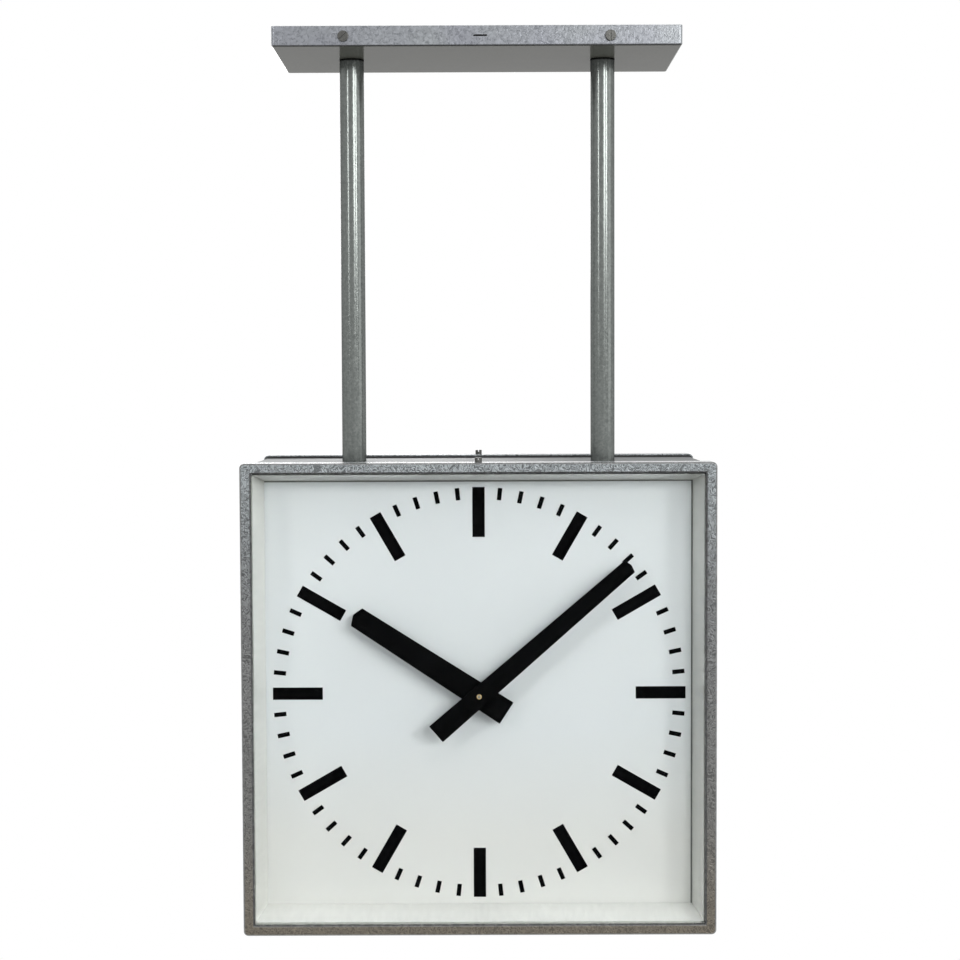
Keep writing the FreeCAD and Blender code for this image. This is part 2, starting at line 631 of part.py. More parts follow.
def makeDoorFrame(side):
    """A pressed frame: side flanges, a face lip and a bevelled edge round the opening."""
    body = newBody("DoorFrame")
    outline = sketchOn(body, "XZ_Plane", HINGE_HEIGHT)
    drawSquare(outline, "outer", "{caseWidth} / 2")
    pad(body, outline, "{doorDepth}")
    cavity = sketchOn(body, "XZ_Plane", f"{FACE} - {{lipBack}}")
    drawSquare(cavity, "cavity", DOOR_INNER)
    pocket(body, cavity, "{doorDepth}")
    outerCorner = cornerEdges(size("caseWidth") / 2)
    innerCorner = cornerEdges(size("caseWidth") / 2 - size("doorSheet"))
    roundEdges(body, "Fillet", "CavityCorners", "{doorCorner} - {doorSheet}",
               lambda edge: innerCorner(edge) and not outerCorner(edge))
    roundEdges(body, "Fillet", "DoorCorners", "{doorCorner}", outerCorner)
    face = -size("caseDepth") / 2
    roundEdges(body, "Fillet", "DoorFaceEdge", "{doorEdge}", lambda edge: edge.BoundBox.YMax < face + 0.01)
    opening = sketchOn(body, "XZ_Plane", FACE)
    drawSquare(opening, "opening", "{openingHalf}")
    pocket(body, opening, "{doorDepth}")
    within = size("openingHalf") + 0.01

    def roundOpening(edge):
        reach = max(edge.BoundBox.XMax, edge.BoundBox.ZMax)
        return edge.BoundBox.YMax < face + 0.01 and reach < within

    roundEdges(body, "Chamfer", "LipBevel", "{lipBevel}", roundOpening)
    fold = sketchOn(body, "XZ_Plane", f"{FACE} - {{doorSheet}}")
    drawSquare(fold, "foldOuter", "{foldOuter}")
    drawSquare(fold, "foldInner", "{foldInner}")
    pocket(body, fold, "{lipBack}")
    lockHole = sketchOn(body, "XY_Plane", "{caseWidth} / 2 + {overcut}")
    drawCircle(lockHole, "lock", "{lockShankRadius} + {runningGap}", "0", f"-({FACE} - {{lockDepth}})")
    pocket(body, lockHole, "{doorSheet} + 2 * {overcut}")
    keepOnSide(side, "door_frame", body)


def makeGlass(side):
    body = newBody("Glass")
    outline = sketchOn(body, "XZ_Plane", f"{FACE} - {{lipBack}} - {{glassThick}}")
    drawSquare(outline, "outer", "({caseWidth} / 2 - {glassInset})")
    pad(body, outline, "{glassThick}")
    keepOnSide(side, "door_glass", body)


LINER_FRONT = f"({FACE} - {{lipBack}} - {{glassThick}})"
LINER_REAR = f"({FACE} - {{linerRearDepth}})"


def frustum(name, frontHalf, rearHalf):
    """A square funnel from the glass to just in front of the dial."""
    wedge = doc.addObject("Part::Wedge", name)
    for corner, half in (("", frontHalf), ("2", rearHalf)):
        for axis in "XZ":
            low, high = (f"{axis}min", f"{axis}max") if corner == "" else (f"{axis}2min", f"{axis}2max")
            bind(wedge, **{low: f"-({half})", high: half})
    return bind(wedge, Ymin=f"-{LINER_FRONT}", Ymax=f"-{LINER_REAR}")


def makeLiner(side):
    """Four mitred strips, flanged against the glass and closing in towards the dial."""
    outer = frustum("LinerOuter", "({linerFrontHalf} + {linerSheet})", "({linerRearHalf} + {linerSheet})")
    inner = frustum("LinerInner", "{linerFrontHalf}", "{linerRearHalf}")
    flange = square("LinerFlange", "{linerFlangeHalf}", f"{LINER_FRONT} - {{linerSheet}}", LINER_FRONT)
    funnel = cut("LinerFunnel", fuse("LinerSolid", outer, flange), inner)
    strips = []
    for quarter in range(4):
        sector = doc.addObject("Part::Wedge", "LinerSector")
        bind(sector, Xmin="0", Xmax="0.001", X2min="-{linerFlangeHalf}", X2max="{linerFlangeHalf}",
             Ymin="{linerSeam}", Ymax="{linerFlangeHalf} + {linerSeam}", Zmin="0", Zmax="{caseDepth}",
             Z2min="0", Z2max="{caseDepth}")
        upright = Placement(Vector(), Rotation(Vector(1, 0, 0), 90))
        sector.Placement = Placement(Vector(), Rotation(Vector(0, 1, 0), 90 * quarter)) * upright
        strip = doc.addObject("Part::Common", "LinerStrip")
        strip.Base = funnel
        strip.Tool = sector
        strips.append(strip)
    keepOnSide(side, "door_liner", group("Liner", strips))


def makeClips(side):
    """Eight spring clips that hold the liner's flange against the glass."""
    flangeBack = f"({LINER_FRONT} - {{linerSheet}})"
    clips = []
    for quarter in range(4):
        for x in BOTH:
            across = around(f"{x} * {{clipOffset}}", "{clipWidth}")
            foot = layer("ClipFoot", across, ("{clipReach}", f"{DOOR_INNER}"),
                         (f"{flangeBack} - {{clipSheet}}", flangeBack))
            wall = layer("ClipWall", across, (f"{DOOR_INNER} - {{clipSheet}}", DOOR_INNER),
                         (f"{flangeBack} - {{clipHeight}}", flangeBack))
            clip = fuse("Clip", foot, wall)
            clip.Placement = Placement(Vector(), Rotation(Vector(0, 1, 0), 90 * quarter))
            clips.append(clip)
    keepOnSide(side, "liner_clips", group("LinerClips", clips))


def makeDoorLeaves(side):
    keepOnSide(side, "door_leaves", group("DoorLeaves", [doorLeaf(x) for x in BOTH]))


LOCK_SLOT_ANGLE = 90


def makeLockScrew(side):
    """A captive slotted screw in the door's top flange, with a collar under the body's tongue."""
    screw = slottedScrew("LockScrew", "{lockHeadRadius}", "{lockHeadHeight}",
                         "{lockShankRadius}", "{lockLength}", LOCK_SLOT_ANGLE)
    collarTop = f"-({{caseWidth}} / 2 - {BODY_INNER} + {{lockCollarGap}})"
    collar = post("LockCollar", "{lockCollarRadius}", f"{collarTop} - {{lockCollarHeight}}", collarTop)
    whole = fuse("LockScrewSolid", screw, collar)
    whole.Placement = Placement(Vector(), Rotation())
    bind(whole, base_y=f"-({FACE} - {{lockDepth}})", base_z="{caseWidth} / 2")
    keepOnSide(side, "lock_screw", group("LockScrewPlaced", [whole]))


# --- dials ----------------------------------------------------------------------------------------

DIAL_TOP = f"({FACE} - {{dialDepth}})"
DIAL_BACK = f"({DIAL_TOP} - {{dialSheet}})"


def dialScrewPlaces():
    """Two places along each edge of the dial, as pairs of formulas."""
    places = []
    for end in BOTH:
        for step in BOTH:
            places.append((f"{end} * {{dialScrewHalf}}", f"{step} * {{dialScrewOffset}}"))
            places.append((f"{step} * {{dialScrewOffset}}", f"{end} * {{dialScrewHalf}}"))
    return places


def makeDialCarrier(side):
    """An angle ring inside the case; the dial is screwed to its flange."""
    back = f"{DIAL_BACK} - {{carrierDepth}}"
    web = squareRing("CarrierWeb", BODY_INNER, f"({BODY_INNER} - {{carrierSheet}})", back, DIAL_BACK)
    flange = squareRing("CarrierFlange", BODY_INNER, "{carrierHalf}",
                        f"{DIAL_BACK} - {{carrierSheet}}", DIAL_BACK)
    holes = [disc("CarrierHole", "{dialScrewRadius}", back, DIAL_TOP, across, upright)
             for across, upright in dialScrewPlaces()]
    keepOnSide(side, "dial_carrier", cut("DialCarrier", fuse("CarrierSolid", web, flange), *holes))


def makeDial(side):
    body = newBody("Dial")
    outline = sketchOn(body, "XZ_Plane", DIAL_BACK)
    drawSquare(outline, "outer", "{dialHalf}")
    pad(body, outline, "{dialSheet}")
    holes = sketchOn(body, "XZ_Plane", DIAL_TOP)
    drawCircle(holes, "centre", "{dialHoleRadius}")
    for index, (across, upright) in enumerate(dialScrewPlaces()):
        drawCircle(holes, f"screw{index}", "{dialScrewRadius}", across, upright)
    pocket(body, holes, "{dialSheet} * 2")
    keepOnSide(side, "dial", body)


def dialScrews():
    screws = []
    for across, upright in dialScrewPlaces():
        head = disc("DialScrewHead", "{dialScrewHeadRadius}", DIAL_TOP,
                    f"{DIAL_TOP} + {{dialScrewHeadHeight}}", across, upright)
        shank = disc("DialScrewShank", "{dialScrewRadius}", f"{DIAL_TOP} - {{dialScrewLength}}", DIAL_TOP,
                     across, upright)
        screws.append(fuse("DialScrew", head, shank))
    return group("DialScrews", screws)


def markBox(length, width, angle):
    """A bar along a radius of the dial, set round to a clock angle."""
    mark = layer("Mark", around("0", width), (f"{{ringRadius}} - {length}", "{ringRadius}"),
                 (DIAL_TOP, f"{DIAL_TOP} + {{markHeight}}"))
    turned = group("MarkTurned", [mark])
    turned.Placement = Placement(Vector(), Rotation(Vector(0, 1, 0), angle))
    return turned


def makeMarks(side):
    """Hour bars and the minute bars between them, a printed layer on the dial."""
    marks = []
    for minute in range(60):
        if minute % 5 == 0:
            marks.append(markBox("{hourMarkLength}", "{hourMarkWidth}", 6 * minute))
        else:
            marks.append(markBox("{minuteMarkLength}", "{minuteMarkWidth}", 6 * minute))
    keepOnSide(side, "dial_marks", group("DialMarks", marks))


# --- hands ----------------------------------------------------------------------------------------

def makeHand(side, name, angle, bore):
    """A tapered bar with a blunt tail and a roof-shaped tip, made at twelve and turned to its time."""
    kind = name.split("_")[0]
    words = ("Depth", "Reach", "Point", "Tail", "TipWidth", "TailWidth")
    cell = {word: f"{{{kind}Hand{word}}}" for word in words}
    body = newBody(name.title().replace("_", ""))
    top = f"({FACE} - {cell['Depth']})"
    outline = sketchOn(body, "XZ_Plane", f"{top} - {{handSheet}}")
    tip, tail = f"{cell['TipWidth']} / 2", f"{cell['TailWidth']} / 2"
    drawBound(outline, "edge", [(f"-{tail}", f"-{cell['Tail']}"), (tail, f"-{cell['Tail']}"),
                                (tip, cell["Reach"]), ("0", f"{cell['Reach']} + {cell['Point']}"),
                                (f"-{tip}", cell["Reach"])])
    pad(body, outline, "{handSheet}")
    boss = sketchOn(body, "XZ_Plane", f"{top} - {{handSheet}} - {{handBossHeight}}")
    drawCircle(boss, "boss", "{handBossRadius}")
    pad(body, boss, "{handBossHeight}")
    hole = sketchOn(body, "XZ_Plane", top)
    drawCircle(hole, "bore", bore)
    pocket(body, hole, "{handSheet} + {handBossHeight} + {overcut}")
    turned = group(body.Name + "Turned", [body])
    turned.Placement = Placement(Vector(), Rotation(Vector(0, 1, 0), angle))
    keepOnSide(side, name, group(body.Name + "Placed", [turned]))


# --- movement -------------------------------------------------------------------------------------

def toothOutline(teeth, module, facing, gap):
    """Points of a gear's outline; a tooth, or a gap, points in the direction that facing gives."""
    spacing = math.tau / teeth
    pitch = module * teeth / 2
    radii = (pitch - TOOTH_DEDENDUM * module, pitch, pitch + TOOTH_ADDENDUM * module)
    flank = list(zip(radii, TOOTH_SHARES))
    profile = [(radius, -share) for radius, share in flank]
    profile += [(radius, share) for radius, share in reversed(flank)]
    start = math.radians(facing) + (spacing / 2 if gap else 0)
    points = []
    for tooth in range(teeth):
        for radius, share in profile:
            angle = start + (tooth + share) * spacing
            points.append((radius * math.cos(angle), radius * math.sin(angle)))
    return points


def gear(name, teeth, moduleCell, low, thick, facing, gap, upright="0"):
    """A toothed disc of a side's frame, centred at a place on Z."""
    body = newBody(name)
    outline = sketchOn(body, "XZ_Plane", low)
    drawPolygon(outline, toothOutline(TEETH[teeth], size(moduleCell), facing, gap), joined=False)
    pad(body, outline, thick)
    return bind(body, base_z=upright)


def movementPlate(name, low, holes):
    ends = (f"{low} - {{overcut}}", f"{low} + {{movementSheet}} + {{overcut}}")
    plate = layer(name + "Flat", ("-{movementHalf}", "{movementHalf}"), ("{movementLow}", "{movementHigh}"),
                  (low, f"{low} + {{movementSheet}}"))
    bores = [disc(name + "Bore", radius, *ends, "0", upright) for radius, upright in holes]
    necks = [disc(name + "Neck", "{pillarNeck}", *ends, f"{x} * {{pillarOffset}}", upright)
             for x in BOTH for upright in ("{pillarLow}", "{pillarHigh}")]
    return cut(name, plate, *bores, *necks)


THIRD_LEVEL = "{thirdCentres}"
ROTOR_LEVEL = "({thirdCentres} + {rotorCentres})"
MOTION_LEVEL = "-{motionCentres}"
FRONT_PLATE = "({plateFrontTop} - {movementSheet})"
BACK_PLATE = "({plateBackTop} - {movementSheet})"


def makeMovementFrame(side):
    """Two plates that stand on four turned pillars behind the dial."""
    pivots = [("{arborRadius} + {runningGap}", "0"), ("{smallArborRadius} + {runningGap}", THIRD_LEVEL),
              ("{smallArborRadius} + {runningGap}", ROTOR_LEVEL)]
    front = movementPlate("MovementFront", FRONT_PLATE, pivots)
    stud = disc("MotionStud", "{smallArborRadius}", FRONT_PLATE, f"{DIAL_BACK} - {{studGap}}",
                "0", MOTION_LEVEL)
    keepOnSide(side, "movement_front_plate", fuse("MovementFrontPlate", front, stud))
    keepOnSide(side, "movement_back_plate", movementPlate("MovementBackPlate", BACK_PLATE, pivots))


def movementPillars():
    """Turned pillars, stepped to carry both plates, riveted to the dial's back."""
    drums = ((f"{BACK_PLATE} - {{pillarNut}}", BACK_PLATE), ("{plateBackTop}", FRONT_PLATE),
             ("{plateFrontTop}", DIAL_BACK))
    pillars = []
    for x in BOTH:
        for upright in ("{pillarLow}", "{pillarHigh}"):
            across = f"{x} * {{pillarOffset}}"
            steps = [disc("PillarDrum", "{pillarRadius}", low, high, across, upright)
                     for low, high in drums]
            neck = disc("PillarNeck", "{pillarNeck}", BACK_PLATE, DIAL_BACK, across, upright)
            pillars.append(fuse("Pillar", neck, *steps))
    return group("MovementPillars", pillars)


STATOR_LOW = "{rotorHeight}"
STATOR_HIGH = "({rotorHeight} + {rotorThick})"
CORE_TOP = "({statorCore} + {statorLeg})"


def makeStator(side):
    """A laminated yoke whose lower bar is split by the rotor's bore into two poles."""
    depth = (STATOR_LOW, STATOR_HIGH)
    wide = ("-{statorHalf}", "{statorHalf}")
    poles = layer("StatorPoles", wide, ("{statorLow}", "{statorLow} + {statorPole}"), depth)
    core = layer("StatorCore", wide, ("{statorCore}", CORE_TOP), depth)
    legs = [layer("StatorLeg", span(x, "{statorHalf} - {statorLeg}", "{statorHalf}"),
                  ("{statorLow}", CORE_TOP), depth) for x in BOTH]
    bore = disc("StatorBore", "{statorBore}", STATOR_LOW, STATOR_HIGH, "0", ROTOR_LEVEL)
    keepOnSide(side, "movement_stator", cut("Stator", fuse("StatorSolid", poles, core, *legs), bore))


def makeCoil(side):
    """The impulse coil on its flanged former, round the yoke's core."""
    along = f"-({STATOR_LOW} + {{rotorThick}} / 2)"
    level = "{statorCore} + {statorLeg} / 2"
    winding = bar("CoilWinding", "{coilRadius}", "-{coilHalf}", "{coilHalf}", along, level)
    flanges = [bar("CoilFlange", "{coilFlangeRadius}",
                   *span(x, "{coilHalf} - {coilFlange}", "{coilHalf}"), along, level) for x in BOTH]
    slot = layer("CoilSlot", ("-{statorHalf}", "{statorHalf}"), ("{statorCore}", CORE_TOP),
                 (STATOR_LOW, STATOR_HIGH))
    keepOnSide(side, "movement_coil", cut("Coil", fuse("CoilSolid", winding, *flanges), slot))


def makeMinuteArbor(side):
    arbor = disc("Arbor", "{arborRadius}", f"{BACK_PLATE} - {{arborTail}}",
                 f"{FACE} - {{minuteHandDepth}} + {{arborProud}}")
    wheel = gear("CentreWheel", "centre", "trainModule", "{centreWheelHeight}", "{wheelSheet}", UP, False)
    hub = disc("CentreHub", "{hubRadius}", "{centreWheelHeight} - {hubHeight}", "{centreWheelHeight}")
    keepOnSide(side, "minute_arbor", fuse("MinuteArbor", arbor, wheel, hub))


def makeCannonPinion(side):
    """The pinion and tube that carry the minute hand, pressed on the arbor."""
    leaves = gear("CannonLeaves", "cannon", "motionModule", "{cannonPinionHeight}", "{wheelSheet} * 1.5",
                  DOWN, False)
    tube = disc("CannonTube", "{cannonRadius}", "{cannonPinionHeight}", f"{FACE} - {{minuteHandDepth}}")
    bore = disc("CannonBore", "{arborRadius}", "{cannonPinionHeight} - {overcut}", FACE)
    keepOnSide(side, "cannon_pinion", cut("CannonPinion", fuse("CannonSolid", leaves, tube), bore))


def makeHourWheel(side):
    """The wheel and pipe that carry the hour hand, loose on the cannon pinion's tube."""
    wheel = gear("HourWheelDisc", "hour", "hourModule", "{hourWheelHeight}", "{wheelSheet}", DOWN, True)
    pipe = disc("HourPipe", "{hourPipeRadius}", "{hourWheelHeight}", f"{FACE} - {{hourHandDepth}}")
    bore = disc("HourBore", "{cannonRadius} + {runningGap}", "{hourWheelHeight} - {overcut}", FACE)
    keepOnSide(side, "hour_wheel", cut("HourWheel", fuse("HourSolid", wheel, pipe), bore))


def makeMinuteWheel(side):
    """The wheel and pinion that turn on the front plate's stud, between the two hands' wheels."""
    wheel = gear("MinuteWheelDisc", "minute", "motionModule", "{minuteWheelHeight}", "{wheelSheet}",
                 UP, True, MOTION_LEVEL)
    pinion = gear("MinutePinionLeaves", "minutePinion", "hourModule", "{minutePinionHeight}",
                  f"{DIAL_BACK} - {{pinionGap}} - {{minutePinionHeight}}", UP, False, MOTION_LEVEL)
    collar = disc("MinuteCollar", "{minuteCollarRadius}", "{minuteWheelHeight}", "{hourWheelHeight}", "0",
                  MOTION_LEVEL)
    bore = disc("MinuteBore", "{smallArborRadius} + {runningGap}", "{plateFrontTop}", FACE,
                "0", MOTION_LEVEL)
    keepOnSide(side, "minute_wheel", cut("MinuteWheel", fuse("MinuteSolid", wheel, pinion, collar), bore))


def pivotArbor(name, upright):
    """A thin arbor that runs in the bores of both plates."""
    return disc(name, "{smallArborRadius}", f"{BACK_PLATE} - {{pivotTail}}",
                "{plateFrontTop} + {pivotTail}", "0", upright)


def makeThirdWheel(side):
    wheel = gear("ThirdWheelDisc", "third", "trainModule", "{thirdWheelHeight}", "{wheelSheet}", UP, False,
                 THIRD_LEVEL)
    pinion = gear("ThirdLeaves", "thirdPinion", "trainModule", "{thirdPinionHeight}", "{wheelSheet} * 2",
                  DOWN, True, THIRD_LEVEL)
    arbor = pivotArbor("ThirdArbor", THIRD_LEVEL)
    keepOnSide(side, "third_wheel", fuse("ThirdWheel", wheel, pinion, arbor))


def makeRotor(side):
    """The permanent magnet rotor, which turns half a turn at each impulse."""
    magnet = disc("RotorMagnet", "{rotorRadius}", STATOR_LOW, STATOR_HIGH, "0", ROTOR_LEVEL)
    leaves = gear("RotorLeaves", "rotorPinion", "trainModule", "{rotorPinionHeight}", "{wheelSheet} * 1.5",
                  DOWN, True, ROTOR_LEVEL)
    keepOnSide(side, "rotor", fuse("Rotor", magnet, leaves, pivotArbor("RotorArbor", ROTOR_LEVEL)))


# --- build, check and export ----------------------------------------------------------------------

makeCeilingPlate()
makePipeSockets()
makeCanopy()
makeCanopyScrews()
makePipes()
makeCasePanels()
makeChannel()
makeLocknuts()
makeTerminalBlock()
makeSeals()
makeCaseHinges()

SIDE_MAKERS = (makeDoorFrame, makeGlass, makeLiner, makeClips, makeDoorLeaves, makeLockScrew,
               makeDialCarrier, makeDial, makeMarks, makeMovementFrame, makeStator, makeCoil,
               makeMinuteArbor, makeCannonPinion, makeHourWheel, makeMinuteWheel, makeThirdWheel, makeRotor)
for side in SIDES:
    for maker in SIDE_MAKERS:
        maker(side)
    makeHand(side, "minute_hand", MINUTE_ANGLE, "{cannonRadius}")
    makeHand(side, "hour_hand", HOUR_ANGLE, "{hourPipeRadius}")
keepOnBothSides("dial_screws", dialScrews)
keepOnBothSides("movement_pillars", movementPillars)

doc.recompute()
for thing in doc.Objects:
    if {"Invalid", "Error"} & set(thing.State):
        raise RuntimeError(f"{thing.Label} did not recompute: {thing.State}")
for node in nodes:
    if node.Shape.isNull() or not node.Shape.isValid():
        raise RuntimeError(f"{node.Label} has no valid shape")

os.makedirs("parts", exist_ok=True)
for node in nodes:
    node.Shape.exportStep(f"parts/{node.Label}.step")
print(len(nodes), "sub-parts written")
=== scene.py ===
import math

import bmesh
import bpy
from mathutils import Matrix, Vector


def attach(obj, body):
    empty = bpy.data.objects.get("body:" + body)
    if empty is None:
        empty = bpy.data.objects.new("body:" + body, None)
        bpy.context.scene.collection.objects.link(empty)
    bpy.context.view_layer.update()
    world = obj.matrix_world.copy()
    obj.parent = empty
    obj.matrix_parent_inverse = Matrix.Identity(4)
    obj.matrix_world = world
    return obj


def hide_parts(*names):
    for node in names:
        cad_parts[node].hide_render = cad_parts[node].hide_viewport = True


# Double sided station clock: sheet steel case, two glazed doors, two pipes and a ceiling cover.
# The pieces and the camera are in millimetres, and the lamps, the room and the levels in metres.
# z is 0 at the ceiling and y is -115 mm at the front.

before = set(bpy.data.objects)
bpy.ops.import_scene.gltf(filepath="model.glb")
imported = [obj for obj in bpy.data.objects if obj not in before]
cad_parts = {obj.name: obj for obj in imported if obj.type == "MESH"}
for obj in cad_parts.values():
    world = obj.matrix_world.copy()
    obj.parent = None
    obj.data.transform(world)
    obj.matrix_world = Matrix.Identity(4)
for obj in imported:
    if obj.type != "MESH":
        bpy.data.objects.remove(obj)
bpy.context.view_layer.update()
mm = 0.001
sides = ("front", "rear")
dialCentre = Vector((0, 0, -611)) * mm
print("frame loaded:", len(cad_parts), "nodes")


# Camera, light and room

camera = {"place": (2.5, -1852, -325), "focalPixels": 1936.4, "imagePixels": 960, "sensor": 36,
          "turnRight": -0.0006, "tiltDown": 0.0497, "roll": -0.0037}


def setCamera():
    data = bpy.data.cameras.new("viewpoint")
    data.sensor_width = camera["sensor"]
    data.lens = camera["focalPixels"] / camera["imagePixels"] * camera["sensor"]
    viewpoint = bpy.data.objects.new("viewpoint", data)
    bpy.context.scene.collection.objects.link(viewpoint)
    turn = Matrix.Rotation(-camera["turnRight"], 4, "Z")
    tilt = Matrix.Rotation(math.pi / 2 - camera["tiltDown"], 4, "X")
    roll = Matrix.Rotation(camera["roll"], 4, "Z")
    viewpoint.matrix_world = Matrix.Translation(Vector(camera["place"]) * mm) @ turn @ tilt @ roll
    bpy.context.scene.camera = viewpoint


lamps = {
    # name: place, point that it faces, width, height, watts
    "key": ((1.0, -2.9, 0.35), (0, 0, -0.55), 0.8, 0.6, 15),
    "rightStrip": ((1.9, -2.35, 0.34), (0, 0, -0.25), 0.42, 0.66, 12),
    "leftStrip": ((-1.9, -2.35, 0.34), (0, 0, -0.25), 0.3, 0.66, 7),
    "window": ((2.3, -0.9, 0.3), (0, 0, -0.45), 1.3, 1.5, 7),
    "ceilingPanel": ((0.1, -2.0, 1.7), (0, 0, -0.5), 1.8, 1.2, 12),
    "behind": ((-0.6, 2.8, 0.6), (0, 0, -0.5), 1.4, 1.4, 20),
}


def setLamps():
    for name, (spot, target, width, height, watts) in lamps.items():
        data = bpy.data.lights.new(name, "AREA")
        data.shape = "RECTANGLE"
        data.size = width
        data.size_y = height
        data.energy = watts
        lamp = bpy.data.objects.new(name, data)
        bpy.context.scene.collection.objects.link(lamp)
        lamp.location = spot
        aim = Vector(target) - Vector(spot)
        lamp.rotation_euler = aim.to_track_quat("-Z", "Y").to_euler()


room = {"fillColour": (0.93, 0.96, 1.0, 1), "fillStrength": 0.2, "floorLevel": -2.3, "floorSize": 6.0,
        "floorColour": (0.84, 0.84, 0.83, 1), "floorGlow": 0.4}


def calculate(tree, operation, first, second):
    node = tree.nodes.new("ShaderNodeMath")
    node.operation = operation
    for value, socket in ((first, node.inputs[0]), (second, node.inputs[1])):
        if isinstance(value, float):
            socket.default_value = value
        else:
            tree.links.new(value, socket)
    return node.outputs[0]


def seenDirectly(tree):
    # 1 for what the lens, a glossy surface or clear glass sees, 0 for light that matt surfaces gather
    path = tree.nodes.new("ShaderNodeLightPath")
    direct = calculate(tree, "MAXIMUM", path.outputs["Is Camera Ray"], path.outputs["Is Glossy Ray"])
    direct = calculate(tree, "MAXIMUM", direct, path.outputs["Is Transmission Ray"])
    unscattered = calculate(tree, "LESS_THAN", path.outputs["Diffuse Depth"], 0.5)
    return calculate(tree, "MULTIPLY", direct, unscattered)


def setRoom():
    world = bpy.data.worlds.new("studio")
    bpy.context.scene.world = world
    world.use_nodes = True
    tree = world.node_tree
    tree.nodes.clear()
    soft = tree.nodes.new("ShaderNodeBackground")
    soft.inputs["Color"].default_value = room["fillColour"]
    soft.inputs["Strength"].default_value = room["fillStrength"]
    white = tree.nodes.new("ShaderNodeBackground")
    white.inputs["Color"].default_value = (1, 1, 1, 1)
    white.inputs["Strength"].default_value = 1
    blend = tree.nodes.new("ShaderNodeMixShader")
    output = tree.nodes.new("ShaderNodeOutputWorld")
    tree.links.new(seenDirectly(tree), blend.inputs["Fac"])
    tree.links.new(soft.outputs[0], blend.inputs[1])
    tree.links.new(white.outputs[0], blend.inputs[2])
    tree.links.new(blend.outputs[0], output.inputs["Surface"])

    bpy.ops.mesh.primitive_plane_add(size=room["floorSize"], location=(0, 0, room["floorLevel"]))
    floor = bpy.context.object
    floor.name = "floor"
    pale = bpy.data.materials.new("paleFloor")
    pale.use_nodes = True
    tree = pale.node_tree
    tree.nodes.clear()
    matt = tree.nodes.new("ShaderNodeBsdfDiffuse")
    matt.inputs["Color"].default_value = room["floorColour"]
    glow = tree.nodes.new("ShaderNodeEmission")
    strength = calculate(tree, "MULTIPLY", seenDirectly(tree), room["floorGlow"])
    both = tree.nodes.new("ShaderNodeAddShader")
    output = tree.nodes.new("ShaderNodeOutputMaterial")
    tree.links.new(strength, glow.inputs["Strength"])
    tree.links.new(matt.outputs[0], both.inputs[0])
    tree.links.new(glow.outputs[0], both.inputs[1])
    tree.links.new(both.outputs[0], output.inputs["Surface"])
    floor.data.materials.append(pale)


bpy.ops.object.select_all(action="DESELECT")
setCamera()
setLamps()
setRoom()
bpy.context.scene.view_settings.view_transform = "Standard"
print("camera, lamps and floor are set")


# Finishes

def startFinish(name, colour, roughness, metallic=0.0, coat=0.0, coatRoughness=0.1, specular=0.5):
    # a Principled surface, with the numbers that are the same all over it on its own sockets
    finish = bpy.data.materials.new(name)
    finish.use_nodes = True
    surface = finish.node_tree.nodes["Principled BSDF"]
    surface.inputs["Base Color"].default_value = (*colour, 1)
    surface.inputs["Roughness"].default_value = roughness
    surface.inputs["Metallic"].default_value = metallic
    surface.inputs["Coat Weight"].default_value = coat
    surface.inputs["Coat Roughness"].default_value = coatRoughness
    surface.inputs["Specular IOR Level"].default_value = specular
    return finish


def place(tree, stretch=(1, 1, 1)):
    # the object's own coordinates, stretched where the grain runs one way
    where = tree.nodes.new("ShaderNodeTexCoord")
    mapping = tree.nodes.new("ShaderNodeMapping")
    mapping.inputs["Scale"].default_value = stretch
    tree.links.new(where.outputs["Object"], mapping.inputs["Vector"])
    return mapping.outputs["Vector"]


def noise(tree, where, scale, detail=2.0, roughness=0.5, distortion=0.0):
    grain = tree.nodes.new("ShaderNodeTexNoise")
    grain.inputs["Scale"].default_value = scale
    grain.inputs["Detail"].default_value = detail
    grain.inputs["Roughness"].default_value = roughness
    grain.inputs["Distortion"].default_value = distortion
    tree.links.new(where, grain.inputs["Vector"])
    return grain.outputs["Fac"]


def roundedCells(tree, where, scale):
    pattern = tree.nodes.new("ShaderNodeTexVoronoi")
    pattern.feature = "SMOOTH_F1"
    pattern.inputs["Scale"].default_value = scale
    tree.links.new(where, pattern.inputs["Vector"])
    return pattern.outputs["Distance"]


def ramp(tree, factor, *stops):
    # stops are (position, colour) or (position, grey level)
    node = tree.nodes.new("ShaderNodeValToRGB")
    elements = node.color_ramp.elements
    while len(elements) < len(stops):
        elements.new(0.5)
    for element, (position, colour) in zip(elements, stops):
        element.position = position
        element.color = (*colour, 1) if isinstance(colour, tuple) else (colour, colour, colour, 1)
    tree.links.new(factor, node.inputs["Fac"])
    return node.outputs["Color"]


def mixColours(tree, factor, first, second, how="MIX"):
    node = tree.nodes.new("ShaderNodeMix")
    node.data_type = "RGBA"
    node.blend_type = how
    for value, socket in ((factor, node.inputs[0]), (first, node.inputs[6]), (second, node.inputs[7])):
        if isinstance(value, (float, int)):
            socket.default_value = value
        elif isinstance(value, tuple):
            socket.default_value = (*value, 1)
        else:
            tree.links.new(value, socket)
    return node.outputs[2]


# where a finish changes with height: the lower and the upper level
levels = {"doorFrame": (-0.826, -0.396), "litBottomRun": (-0.8185, -0.8165), "pipeJointShade": (-0.0206, -0.0196),
          "lowerReveal": (-0.812, -0.806), "dial": (-0.80, -0.45)}


def byHeight(tree, where, part, *stops):
    # a ramp that climbs from the lower level to the upper one
    low, high = levels[part]
    split = tree.nodes.new("ShaderNodeSeparateXYZ")
    tree.links.new(where, split.inputs["Vector"])
    level = tree.nodes.new("ShaderNodeMapRange")
    level.inputs["From Min"].default_value = low
    level.inputs["From Max"].default_value = high
    tree.links.new(split.outputs["Z"], level.inputs["Value"])
    return ramp(tree, level.outputs["Result"], *stops)


